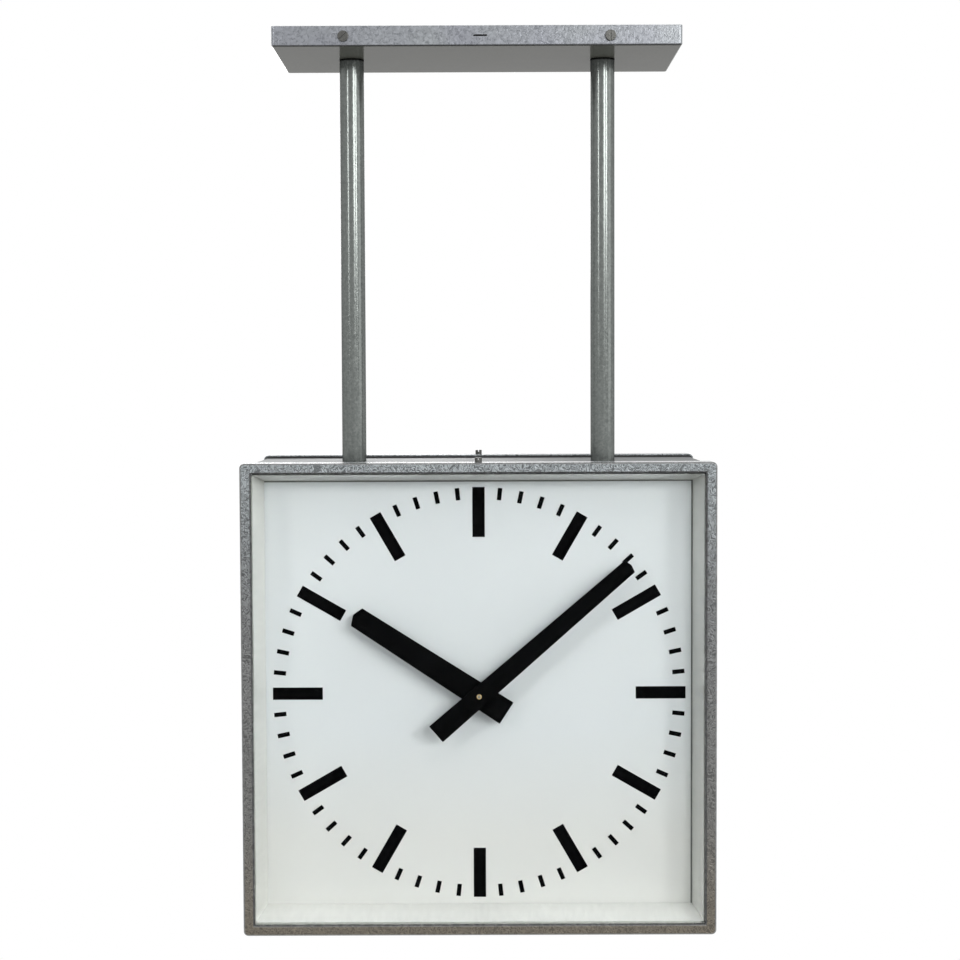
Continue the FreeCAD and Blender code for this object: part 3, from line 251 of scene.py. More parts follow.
def dress(finish, colour=None, roughness=None, height=None, relief=0.1, depth=0.0003, second=None):
    # sends a pattern to the surface's colour, its roughness and its relief
    tree = finish.node_tree
    surface = tree.nodes["Principled BSDF"]
    if colour is not None:
        tree.links.new(colour, surface.inputs["Base Color"])
    if roughness is not None:
        tree.links.new(roughness, surface.inputs["Roughness"])
    if height is not None:
        bump = tree.nodes.new("ShaderNodeBump")
        bump.inputs["Strength"].default_value = relief
        bump.inputs["Distance"].default_value = depth
        tree.links.new(height, bump.inputs["Height"])
        if second is not None:
            fine = tree.nodes.new("ShaderNodeBump")
            fine.inputs["Strength"].default_value = relief
            fine.inputs["Distance"].default_value = depth / 3
            tree.links.new(second, fine.inputs["Height"])
            tree.links.new(fine.outputs["Normal"], bump.inputs["Normal"])
        tree.links.new(bump.outputs["Normal"], surface.inputs["Normal"])


hammerPaint = {"light": (0.48, 0.495, 0.50), "middle": (0.26, 0.268, 0.27), "dark": (0.075, 0.078, 0.08),
               "veinScale": 150, "veinBands": 8.0, "domeScale": 260, "speckScale": 1500}


def hammerFinish():
    # hammered silver-grey paint: winding light and dark veins over shallow domes, with bright flakes and
    # calmer veins on the bottom run; a painted reflection tints it brown on the bottom run and palest on the
    # top run
    finish = startFinish("hammeredPaint", hammerPaint["middle"], 0.32, metallic=0.5, coat=0.5,
                         coatRoughness=0.08)
    tree = finish.node_tree
    where = place(tree)
    winding = noise(tree, where, hammerPaint["veinScale"], detail=1.5, roughness=0.5, distortion=0.9)
    veins = calculate(tree, "MULTIPLY", winding, hammerPaint["veinBands"])
    veins = calculate(tree, "PINGPONG", veins, 0.5)
    veins = calculate(tree, "MULTIPLY", veins, 2.0)
    base = ramp(tree, veins, (0.10, hammerPaint["dark"]), (0.5, hammerPaint["middle"]),
                (0.88, hammerPaint["light"]))
    flakes = noise(tree, where, hammerPaint["speckScale"], detail=1.0)
    spark = ramp(tree, flakes, (0.5, 0.0), (0.72, 0.3))
    colour = mixColours(tree, spark, base, hammerPaint["light"])
    calm = byHeight(tree, where, "doorFrame", (0.1, 0.6), (0.6, 0.3), (0.9, 0.25))
    colour = mixColours(tree, calm, colour, hammerPaint["middle"])
    # painted reflection: a warm brown floor bounce low on the frame and a pale cool ceiling high on it
    paintedReflectionTint = byHeight(tree, where, "doorFrame", (0.02, (0.55, 0.46, 0.34)), (0.25, (0.52, 0.50, 0.47)),
                    (0.7, (0.54, 0.54, 0.54)), (0.97, (0.88, 0.93, 0.95)))
    colour = mixColours(tree, 1.0, colour, paintedReflectionTint, "MULTIPLY")
    domes = roundedCells(tree, where, hammerPaint["domeScale"])
    sheen = ramp(tree, veins, (0.2, 0.24), (0.8, 0.40))
    dress(finish, colour, sheen, veins, relief=0.5, depth=0.0006, second=domes)
    return finish


def edgeFinish(name, thin, thick):
    # the same paint where it has flowed smooth round an edge, and with the darker colours given for the lip a
    # darkened copy of it that stands for painted shade; paler on the bottom run, a painted highlight of the
    # light from above
    finish = startFinish(name, thin, 0.25, metallic=0.3, coat=0.6, coatRoughness=0.06)
    tree = finish.node_tree
    where = place(tree)
    patches = noise(tree, where, 160, detail=2, distortion=0.8)
    base = ramp(tree, patches, (0.3, thin), (0.7, thick))
    # painted highlight: the bottom run is made paler, as if lit from above
    paintedBottomHighlight = byHeight(tree, where, "litBottomRun", (0.0, 0.8), (1.0, 0.0))
    base = mixColours(tree, paintedBottomHighlight, base, (0.36, 0.36, 0.34))
    sheen = ramp(tree, patches, (0.3, 0.2), (0.7, 0.33))
    dress(finish, base, sheen, patches, relief=0.12, depth=0.0004)
    return finish


canopyPaint = {"light": (0.36, 0.38, 0.40), "middle": (0.29, 0.308, 0.32), "dark": (0.20, 0.215, 0.23),
               "veinScale": 300, "speckScale": 900}


def canopyFinish():
    # smoother silver-grey paint: shallow waves, a few dark dots, and a slow drift in tone
    finish = startFinish("canopyPaint", canopyPaint["middle"], 0.3, metallic=0.5, coat=0.4, coatRoughness=0.1)
    tree = finish.node_tree
    where = place(tree)
    waves = noise(tree, where, canopyPaint["veinScale"], detail=2, roughness=0.55, distortion=0.9)
    base = ramp(tree, waves, (0.28, canopyPaint["dark"]), (0.50, canopyPaint["middle"]),
                (0.70, canopyPaint["light"]))
    dots = ramp(tree, noise(tree, where, canopyPaint["speckScale"], detail=0.5), (0.70, 1.0), (0.78, 0.55))
    colour = mixColours(tree, 1.0, base, dots, "MULTIPLY")
    drift = ramp(tree, noise(tree, where, 14, detail=1.5), (0.35, (0.92, 0.90, 0.96)), (0.65, (1, 1, 1)))
    colour = mixColours(tree, 1.0, colour, drift, "MULTIPLY")
    sheen = ramp(tree, waves, (0.3, 0.24), (0.7, 0.36))
    dress(finish, colour, sheen, waves, relief=0.3, depth=0.0006)
    return finish


def enamelFinish(name, colour, roughness, spread=0.06, orangePeel=0.06, specular=0.2):
    # smooth stoved enamel: a faint drift in tone, orange peel and small dust specks
    finish = startFinish(name, colour, roughness, specular=specular)
    tree = finish.node_tree
    where = place(tree)
    drift = noise(tree, where, 7, detail=3)
    low = tuple(level * (1 - spread) for level in colour)
    high = tuple(min(1.0, level * (1 + spread)) for level in colour)
    base = ramp(tree, drift, (0.3, low), (0.7, high))
    peel = noise(tree, where, 420, detail=1.5)
    specks = ramp(tree, noise(tree, where, 900, detail=0.5), (0.70, 1.0), (0.76, 0.88))
    colourOut = mixColours(tree, 1.0, base, specks, "MULTIPLY")
    sheen = ramp(tree, drift, (0.3, roughness * 0.85), (0.7, min(1.0, roughness * 1.2)))
    dress(finish, colourOut, sheen, peel, relief=orangePeel, depth=0.0004)
    return finish


def pipeFinish():
    # grey enamel on tube: fine drawing lines along the pipe and flecks that hardly show, with a thin band of
    # painted shade round the pipe just under the cover
    finish = startFinish("pipeEnamel", (0.20, 0.215, 0.205), 0.2, metallic=0.6, specular=0.25)
    tree = finish.node_tree
    tree.nodes["Principled BSDF"].inputs["Specular Tint"].default_value = (0.3, 0.3, 0.3, 1)
    flecks = noise(tree, place(tree), 420, detail=2, distortion=0.6)
    lines = noise(tree, place(tree, (1, 1, 0.02)), 900, detail=2)
    base = ramp(tree, flecks, (0.33, (0.165, 0.178, 0.171)), (0.5, (0.195, 0.21, 0.20)),
                (0.70, (0.235, 0.25, 0.24)))
    streaks = ramp(tree, lines, (0.35, 0.92), (0.65, 1.0))
    colour = mixColours(tree, 1.0, base, streaks, "MULTIPLY")
    # painted shade: the pipe is darkened in a thin band just under the cover
    paintedJointShade = byHeight(tree, place(tree), "pipeJointShade", (0.0, 1.0), (1.0, 0.04))
    colour = mixColours(tree, 1.0, colour, paintedJointShade, "MULTIPLY")
    sheen = ramp(tree, flecks, (0.3, 0.15), (0.7, 0.21))
    dress(finish, colour, sheen, flecks, relief=0.06, depth=0.0004, second=lines)
    return finish


def revealFinish():
    # white lacquered strip with the faint lines of rolled sheet; the bottom run is painted whiter, a painted
    # light where it faces up to the light above
    finish = startFinish("revealLacquer", (0.74, 0.74, 0.70), 0.34, coat=0.4, coatRoughness=0.15)
    tree = finish.node_tree
    drift = noise(tree, place(tree), 6, detail=2)
    rolled = noise(tree, place(tree, (1, 0.01, 1)), 240, detail=3)
    base = ramp(tree, drift, (0.3, (0.70, 0.695, 0.655)), (0.7, (0.77, 0.77, 0.735)))
    # painted light: the strip on the bottom run is made whiter, as if lit from above
    paintedLightFromAbove = byHeight(tree, place(tree), "lowerReveal", (0.0, 0.75), (1.0, 0.0))
    base = mixColours(tree, paintedLightFromAbove, base, (0.94, 0.935, 0.91))
    lines = ramp(tree, rolled, (0.3, 0.93), (0.7, 1.0))
    colour = mixColours(tree, 1.0, base, lines, "MULTIPLY")
    dress(finish, colour, None, rolled, relief=0.05, depth=0.0003)
    return finish


# where the painted shadow line on the dial begins, in millimetres from its centre
dialShadowLine = 195.9


def dialFinish():
    # white enamel with a painted tint of the light, cool above and a little warmer below, and a painted
    # shadow line along the top edge and the edge on the +X side where the reveal shades the dial, from the
    # distance set above outwards, in millimetres from the dial's centre
    finish = startFinish("dialEnamel", (0.78, 0.81, 0.82), 0.42, coat=0.2, coatRoughness=0.15)
    tree = finish.node_tree
    where = place(tree)
    # painted light: cool above and warmer below
    base = byHeight(tree, where, "dial", (0.15, (0.80, 0.795, 0.765)), (0.45, (0.785, 0.81, 0.82)))
    drift = ramp(tree, noise(tree, where, 5, detail=2), (0.3, 0.975), (0.7, 1.0))
    colour = mixColours(tree, 1.0, base, drift, "MULTIPLY")
    split = tree.nodes.new("ShaderNodeSeparateXYZ")
    tree.links.new(where, split.inputs["Vector"])
    up = calculate(tree, "SUBTRACT", split.outputs["Z"], dialCentre.z)
    reach = calculate(tree, "MAXIMUM", split.outputs["X"], up)
    # painted shadow: a dark line along the top and +X edges only
    paintedShadowLine = calculate(tree, "GREATER_THAN", reach, dialShadowLine * mm)
    colour = mixColours(tree, paintedShadowLine, colour, (0.14, 0.14, 0.13))
    peel = noise(tree, where, 350, detail=1.5)
    dress(finish, colour, None, peel, relief=0.03, depth=0.0003)
    return finish


def inkFinish(name, colour, roughness, scale=700, specular=0.5):
    # black lacquer or print, with a trace of texture and worn tone
    finish = startFinish(name, colour, roughness, specular=specular)
    tree = finish.node_tree
    where = place(tree)
    tone = noise(tree, where, 40, detail=3)
    high = tuple(level * 1.7 for level in colour)
    base = ramp(tree, tone, (0.35, colour), (0.75, high))
    grain = noise(tree, where, scale, detail=2)
    sheen = ramp(tree, grain, (0.3, roughness * 0.85), (0.7, min(1.0, roughness * 1.15)))
    dress(finish, base, sheen, grain, relief=0.08, depth=0.0002)
    return finish


def metalFinish(name, colour, roughness, stretch=(1, 1, 1), scale=600, relief=0.1, spread=0.14):
    # bare or plated metal: its grain runs along the stretched axis
    finish = startFinish(name, colour, roughness, metallic=1.0)
    tree = finish.node_tree
    grain = noise(tree, place(tree, stretch), scale, detail=3)
    stain = noise(tree, place(tree), 45, detail=3)
    low = tuple(level * (1 - spread) for level in colour)
    high = tuple(min(1.0, level * (1 + spread)) for level in colour)
    base = ramp(tree, stain, (0.3, low), (0.7, high))
    scratches = ramp(tree, grain, (0.3, 0.88), (0.7, 1.0))
    shade = mixColours(tree, 1.0, base, scratches, "MULTIPLY")
    sheen = ramp(tree, grain, (0.3, roughness * 0.8), (0.7, min(1.0, roughness * 1.35)))
    dress(finish, shade, sheen, grain, relief=relief, depth=0.0002)
    return finish


pivotRadius = 3.5


def arborFinish():
    # a steel pivot, and the brass wheel on it, told apart by the distance from the dial's centre line
    finish = metalFinish("arborSteel", (0.20, 0.20, 0.19), 0.3, scale=900)
    tree = finish.node_tree
    surface = tree.nodes["Principled BSDF"]
    away = tree.nodes.new("ShaderNodeVectorMath")
    away.operation = "SUBTRACT"
    away.inputs[1].default_value = dialCentre
    tree.links.new(place(tree), away.inputs[0])
    flat = tree.nodes.new("ShaderNodeVectorMath")
    flat.operation = "MULTIPLY"
    flat.inputs[1].default_value = (1, 0, 1)
    tree.links.new(away.outputs["Vector"], flat.inputs[0])
    distance = tree.nodes.new("ShaderNodeVectorMath")
    distance.operation = "LENGTH"
    tree.links.new(flat.outputs["Vector"], distance.inputs[0])
    wheel = calculate(tree, "GREATER_THAN", distance.outputs["Value"], pivotRadius * mm)
    steel = surface.inputs["Base Color"].links[0].from_socket
    dress(finish, mixColours(tree, wheel, steel, (0.74, 0.54, 0.25)))
    return finish


def spangleFinish():
    # galvanised steel: large pale crystals
    finish = startFinish("galvanisedSteel", (0.52, 0.54, 0.56), 0.42, metallic=0.9)
    tree = finish.node_tree
    where = place(tree)
    pattern = tree.nodes.new("ShaderNodeTexVoronoi")
    pattern.inputs["Scale"].default_value = 150
    tree.links.new(where, pattern.inputs["Vector"])
    tone = tree.nodes.new("ShaderNodeSeparateColor")
    tree.links.new(pattern.outputs["Color"], tone.inputs["Color"])
    base = ramp(tree, tone.outputs[0], (0.0, (0.40, 0.42, 0.44)), (0.6, (0.55, 0.57, 0.59)),
                (1.0, (0.68, 0.70, 0.72)))
    sheen = ramp(tree, tone.outputs[0], (0.0, 0.52), (1.0, 0.32))
    dress(finish, base, sheen, noise(tree, where, 500), relief=0.06, depth=0.0002)
    return finish


def rubberFinish():
    finish = startFinish("sealRubber", (0.012, 0.012, 0.013), 0.55)
    tree = finish.node_tree
    where = place(tree)
    bloom = ramp(tree, noise(tree, where, 60, detail=4), (0.4, (0.010, 0.010, 0.011)),
                 (0.75, (0.035, 0.035, 0.034)))
    grain = noise(tree, where, 1400, detail=2)
    sheen = ramp(tree, grain, (0.3, 0.48), (0.7, 0.7))
    dress(finish, bloom, sheen, grain, relief=0.15, depth=0.0002)
    return finish


def windingFinish():
    # enamelled copper wire, wound in even turns along the coil
    finish = startFinish("coilWire", (0.50, 0.20, 0.09), 0.3, metallic=0.7, coat=0.6, coatRoughness=0.1)
    tree = finish.node_tree
    turns = tree.nodes.new("ShaderNodeTexWave")
    turns.wave_type = "BANDS"
    turns.bands_direction = "X"
    turns.inputs["Scale"].default_value = 640
    turns.inputs["Distortion"].default_value = 0.6
    tree.links.new(place(tree), turns.inputs["Vector"])
    base = ramp(tree, turns.outputs["Fac"], (0.0, (0.20, 0.07, 0.03)), (0.6, (0.55, 0.23, 0.10)))
    dress(finish, base, None, turns.outputs["Fac"], relief=0.6, depth=0.0003)
    return finish


def laminateFinish():
    # stacked core sheets: thin dark lines across the yoke's thickness
    finish = startFinish("coreSteel", (0.36, 0.35, 0.34), 0.4, metallic=0.9)
    tree = finish.node_tree
    sheets = tree.nodes.new("ShaderNodeTexWave")
    sheets.wave_type = "BANDS"
    sheets.bands_direction = "Y"
    sheets.inputs["Scale"].default_value = 320
    tree.links.new(place(tree), sheets.inputs["Vector"])
    base = ramp(tree, sheets.outputs["Fac"], (0.1, (0.14, 0.13, 0.125)), (0.4, (0.38, 0.37, 0.36)))
    grain = noise(tree, place(tree), 400, detail=3)
    sheen = ramp(tree, grain, (0.3, 0.32), (0.7, 0.52))
    dress(finish, base, sheen, sheets.outputs["Fac"], relief=0.3, depth=0.0002)
    return finish


def glassFinish():
    # clear pane with a trace of smears, which hardly shades what is behind it
    finish = bpy.data.materials.new("clearGlass")
    finish.use_nodes = True
    tree = finish.node_tree
    surface = tree.nodes["Principled BSDF"]
    surface.inputs["Base Color"].default_value = (0.975, 0.99, 0.985, 1)
    surface.inputs["Transmission Weight"].default_value = 1
    surface.inputs["IOR"].default_value = 1.05
    smears = ramp(tree, noise(tree, place(tree), 12, detail=4), (0.4, 0.0), (0.8, 0.02))
    tree.links.new(smears, surface.inputs["Roughness"])
    clear = tree.nodes.new("ShaderNodeBsdfTransparent")
    clear.inputs["Color"].default_value = (0.96, 0.975, 0.97, 1)
    path = tree.nodes.new("ShaderNodeLightPath")
    either = tree.nodes.new("ShaderNodeMixShader")
    tree.links.new(path.outputs["Is Shadow Ray"], either.inputs["Fac"])
    tree.links.new(surface.outputs[0], either.inputs[1])
    tree.links.new(clear.outputs[0], either.inputs[2])
    tree.links.new(either.outputs[0], tree.nodes["Material Output"].inputs["Surface"])
    return finish


finishes = {
    "hammer": hammerFinish(),
    "outerEdge": edgeFinish("outerEdgePaint", (0.16, 0.165, 0.165), (0.24, 0.247, 0.247)),
    # the lip paint is a darkened copy of the frame's paint: painted shade in the opening's bevel and the
    # cover's bend
    "lip": edgeFinish("lipPaintedShade", (0.035, 0.036, 0.037), (0.07, 0.071, 0.072)),
    "canopy": canopyFinish(),
    # the cover's paint made darker and warmer on the face turned down: painted shade with a painted warm
    # floor reflection
    "canopyUndersideShaded": enamelFinish("canopyUndersideShaded", (0.20, 0.20, 0.168), 0.15, specular=0.015),
    "caseEnamel": enamelFinish("caseEnamel", (0.31, 0.32, 0.32), 0.42, specular=0.03),
    "pipe": pipeFinish(),
    "reveal": revealFinish(),
    "dial": dialFinish(),
    "mark": inkFinish("markPrint", (0.0012, 0.0012, 0.0014), 0.45, specular=0.015),
    "hand": inkFinish("handLacquer", (0.0012, 0.0012, 0.0014), 0.36, specular=0.02),
    "magnet": inkFinish("magnetFerrite", (0.035, 0.033, 0.032), 0.5, scale=1200),
    "terminal": inkFinish("terminalMoulding", (0.05, 0.045, 0.04), 0.4, scale=500),
    "plated": metalFinish("platedScrew", (0.10, 0.10, 0.095), 0.3),
    "arbor": arborFinish(),
    "spring": metalFinish("springSteel", (0.42, 0.43, 0.44), 0.34, stretch=(1, 1, 0.1)),
    "brass": metalFinish("rolledBrass", (0.72, 0.52, 0.24), 0.28, stretch=(0.1, 1, 1), spread=0.1),
    "turned": metalFinish("turnedBrass", (0.76, 0.56, 0.27), 0.24, scale=900, spread=0.08),
    "hinge": metalFinish("hingeZinc", (0.46, 0.46, 0.44), 0.4, scale=350),
    "zinc": spangleFinish(),
    "rubber": rubberFinish(),
    "winding": windingFinish(),
    "core": laminateFinish(),
    "glass": glassFinish(),
}
print("finishes made:", len(finishes))


# Modelling helpers

# a flat face's normal passes the first along its axis, and a bend's passes the second
flatNormal = 0.97
bendNormal = 0.25


def clearSelection():
    if bpy.context.object is not None and bpy.context.object.mode != "OBJECT":
        bpy.ops.object.mode_set(mode="OBJECT")
    bpy.ops.object.select_all(action="DESELECT")


def pickAlone(piece):
    clearSelection()
    piece.select_set(True)
    bpy.context.view_layer.objects.active = piece


def fixPlace(piece):
    # the piece's place goes into its mesh, and its object stays at the origin
    pickAlone(piece)
    bpy.ops.object.transform_apply(location=True, rotation=True, scale=True)
    return piece


def addBlock(name, low, high):
    # a block between two corners given in millimetres
    clearSelection()
    low, high = Vector(low) * mm, Vector(high) * mm
    bpy.ops.mesh.primitive_cube_add(size=1, location=(low + high) / 2)
    piece = bpy.context.object
    piece.name = name
    piece.scale = high - low
    return fixPlace(piece)


def addRod(name, radius, start, end, corners=64):
    # a cylinder between two points given in millimetres
    clearSelection()
    start, end = Vector(start) * mm, Vector(end) * mm
    run = end - start
    bpy.ops.mesh.primitive_cylinder_add(vertices=corners, radius=radius * mm, depth=run.length,
                                        location=(start + end) / 2,
                                        rotation=run.to_track_quat("Z", "Y").to_euler())
    piece = bpy.context.object
    piece.name = name
    return fixPlace(piece)


def openForEdit(piece, faces=None, edges=None):
    # goes into edit mode with only the faces or edges that the test picks
    pickAlone(piece)
    bpy.ops.object.mode_set(mode="EDIT")
    bpy.ops.mesh.select_mode(type="FACE" if faces else "EDGE")
    bpy.ops.mesh.select_all(action="DESELECT")
    mesh = bmesh.from_edit_mesh(piece.data)
    for item in (mesh.faces if faces else mesh.edges):
        if (faces or edges)(item):
            item.select_set(True)
    bmesh.update_edit_mesh(piece.data)


def closeEdit():
    bpy.ops.object.mode_set(mode="OBJECT")


def runsAlong(axis):
    # picks straight edges along X, Y or Z
    def test(edge):
        run = edge.verts[1].co - edge.verts[0].co
        return abs(run.normalized()[axis]) > 0.999
    return test


def liesAt(axis, level):
    # picks the edges or faces that lie wholly at a level of X, Y or Z, given in millimetres
    def test(item):
        return all(abs(vert.co[axis] - level * mm) < 1e-5 for vert in item.verts)
    return test


def roundPicked(piece, radius, segments, test):
    openForEdit(piece, edges=test)
    bpy.ops.mesh.bevel(offset=radius * mm, segments=segments, profile=0.5, affect="EDGES")
    closeEdit()


def useModifier(piece, kind, **settings):
    pickAlone(piece)
    modifier = piece.modifiers.new(kind.lower(), kind)
    for name, value in settings.items():
        setattr(modifier, name, value)
    bpy.ops.object.modifier_apply(modifier=modifier.name)


def cutAway(piece, *cutters):
    # takes the cutters' room out of the piece
    for cutter in cutters:
        useModifier(piece, "BOOLEAN", operation="DIFFERENCE", object=cutter, solver="EXACT")
        bpy.data.objects.remove(cutter)


def softenEdges(piece, width, angle=35, segments=2):
    useModifier(piece, "BEVEL", width=width * mm, segments=segments, limit_method="ANGLE",
                angle_limit=math.radians(angle), use_clamp_overlap=True)


def smoothShade(piece, angle=32):
    # smooth where the edges are blunt, with the broad faces kept flat
    pickAlone(piece)
    bpy.ops.object.shade_smooth_by_angle(angle=math.radians(angle))
    useModifier(piece, "WEIGHTED_NORMAL", keep_sharp=True)


def copyTurned(piece, name, turn, move=(0, 0, 0), axis="Z"):
    # a copy with its own mesh, turned about an axis through the origin and then moved
    pickAlone(piece)
    bpy.ops.object.duplicate()
    copy = bpy.context.object
    copy.name = name
    copy.matrix_world = Matrix.Translation(Vector(move) * mm) @ Matrix.Rotation(turn, 4, axis)
    return fixPlace(copy)


def joinPieces(name, pieces):
    clearSelection()
    for piece in pieces:
        piece.select_set(True)
    bpy.context.view_layer.objects.active = pieces[0]
    bpy.ops.object.join()
    joined = bpy.context.object
    joined.name = name
    return joined


def handOver(piece, finish, slotName, body, *nodes):
    # dresses a finished piece, ties it to its body and hides the plain solid that it stands for
    if finish is not None:
        piece.data.materials.clear()
        piece.data.materials.append(finishes[finish])
    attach(piece, body)
    if nodes:
        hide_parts(*nodes)
    return piece


# Slotted screws

# the slot's sizes are shares of the head's
slottedScrew = {"slotReach": 1.1, "slotHalfWidth": 0.13, "slotFloor": 0.55, "edge": 0.5, "burr": 0.12,
                "cutPast": 1, "stemInHead": 0.2, "stemEdge": 0.3}


def makeScrew(name, head, headHeight, shank, length, slotAngle):
    # stands along Z with the head's seat at the origin
    screw = addRod(name, head, (0, 0, 0), (0, 0, headHeight))
    roundPicked(screw, slottedScrew["edge"], 4, liesAt(2, headHeight))
    reach = head * slottedScrew["slotReach"]
    half = head * slottedScrew["slotHalfWidth"]
    slot = addBlock("slotCutter", (-reach, -half, headHeight * slottedScrew["slotFloor"]),
                    (reach, half, headHeight + slottedScrew["cutPast"]))
    slot.rotation_euler = (0, 0, math.radians(slotAngle))
    cutAway(screw, fixPlace(slot))
    softenEdges(screw, slottedScrew["burr"], angle=60)
    stem = addRod("stem", shank, (0, 0, -length), (0, 0, slottedScrew["stemInHead"]), corners=32)
    softenEdges(stem, slottedScrew["stemEdge"])
    screw = joinPieces(name, [screw, stem])
    smoothShade(screw)
    return screw


# Ceiling cover with its screws

canopy = {"width": 374, "length": 152, "height": 18.5, "sheet": 1.2, "corner": 3, "bend": 2.0,
          "pipeSpacing": 237.4, "pipeHole": 12.0, "slitWidth": 12.5, "slitHeight": 1.4, "slitOffset": 3,
          "slitDrop": 9, "screwSpacing": 243, "screwDrop": 9.5, "screwHole": 2.6, "cutPast": 5,
          "burr": 0.2}


def makeCanopy():
    acrossHalf, alongHalf, drop = canopy["width"] / 2, canopy["length"] / 2, canopy["height"]
    past = canopy["cutPast"]
    cover = addBlock("ceilingCover", (-acrossHalf, -alongHalf, -drop), (acrossHalf, alongHalf, 0))
    roundPicked(cover, canopy["corner"], 6, runsAlong(2))
    roundPicked(cover, canopy["bend"], 4, liesAt(2, -drop))
    openForEdit(cover, faces=liesAt(2, 0))
    bpy.ops.mesh.inset(thickness=canopy["sheet"] * mm, use_even_offset=True)
    bpy.ops.mesh.extrude_region_move(
        TRANSFORM_OT_translate={"value": (0, 0, (canopy["sheet"] - drop) * mm)})
    closeEdit()
    cutters = []
    for x in (-1, 1):
        pipeX, screwX = x * canopy["pipeSpacing"] / 2, x * canopy["screwSpacing"] / 2
        cutters.append(addRod("pipeHole", canopy["pipeHole"], (pipeX, 0, -drop - past),
                              (pipeX, 0, -drop + past)))
        cutters.append(addRod("screwHole", canopy["screwHole"],
                              (screwX, -alongHalf - past, -canopy["screwDrop"]),
                              (screwX, alongHalf + past, -canopy["screwDrop"]), corners=32))
    slitHalf = canopy["slitWidth"] / 2
    cutters.append(addBlock("slit", (canopy["slitOffset"] - slitHalf, -alongHalf - past,
                                     -canopy["slitDrop"] - canopy["slitHeight"] / 2),
                            (canopy["slitOffset"] + slitHalf, alongHalf + past,
                             -canopy["slitDrop"] + canopy["slitHeight"] / 2)))
    cutAway(cover, *cutters)
    softenEdges(cover, canopy["burr"], angle=60)
    smoothShade(cover)
    cover.data.materials.clear()
    for finish in ("canopy", "canopyUndersideShaded", "lip"):
        cover.data.materials.append(finishes[finish])
    # faces turned down take the underside paint and the bend takes the lip paint, both darkened as painted
    # shade
    for face in cover.data.polygons:
        if face.normal.z < -bendNormal:
            face.material_index = 1 if face.normal.z < -flatNormal else 2
    handOver(cover, None, "hammertone", "case", "ceiling_canopy")


# the slots' angles are in degrees, by the screws' sides in x and y
canopyScrew = {"head": 5, "headHeight": 2.6, "shank": 2.5, "length": 12,
               "slots": {(-1, -1): 40, (1, -1): 90, (-1, 1): 75, (1, 1): 10}}


def makeCanopyScrews():
    screws = []
    for (x, y), slotAngle in canopyScrew["slots"].items():
        screw = makeScrew("canopyScrew", canopyScrew["head"], canopyScrew["headHeight"],
                          canopyScrew["shank"], canopyScrew["length"], slotAngle)
        spot = (x * canopy["screwSpacing"] / 2, y * canopy["length"] / 2, -canopy["screwDrop"])
        screws.append(copyTurned(screw, "canopyScrew", math.radians(-90 * y), spot, "X"))
        bpy.data.objects.remove(screw)
    handOver(joinPieces("canopyScrews", screws), "plated", "plated_screw", "case", "canopy_screws")


makeCanopy()
makeCanopyScrews()
print("ceiling cover made")


# Hanging pipes

pipe = {"radius": 11.5, "wall": 1.5, "top": -3.5, "bottom": -428, "rim": 0.3}


def makePipes():
    for name, x in (("pipe_left", -1), ("pipe_right", 1)):
        across = x * canopy["pipeSpacing"] / 2
        tube = addRod(name.replace("_", ""), pipe["radius"], (across, 0, pipe["bottom"]),
                      (across, 0, pipe["top"]), corners=96)
        openForEdit(tube, faces=lambda face: abs(face.normal.z) > flatNormal)
        bpy.ops.mesh.delete(type="FACE")
        closeEdit()
        useModifier(tube, "SOLIDIFY", thickness=pipe["wall"] * mm, offset=-1)
        softenEdges(tube, pipe["rim"], angle=60)
        smoothShade(tube)
        handOver(tube, "pipe", "grey_enamel", "case", name)


makePipes()
print("pipes made")


# Door frames

door = {"half": 215, "middle": -611, "face": -115, "back": -87, "sheet": 1.5, "corner": 4.5, "edge": 2.0,
        "openingHalf": 204.5, "openingTall": 1.003, "lipBevel": 1.5, "lipBack": 4.5,
        "foldInner": 208.2, "foldOuter": 212, "grooveDepth": 8, "lockHole": 2.05, "lockDepth": 13,
        "lockHoleTop": -390, "lockHoleEnd": -400, "burr": 0.35,
        # how far the cutters reach past what they cut
        "holeReach": 10, "faceReach": 3, "coreFront": 5, "coreBack": 12}


def squareBlock(name, half, front, back):
    # a square block about the dial's centre line
    middle = door["middle"]
    return addBlock(name, (-half, front, middle - half), (half, back, middle + half))


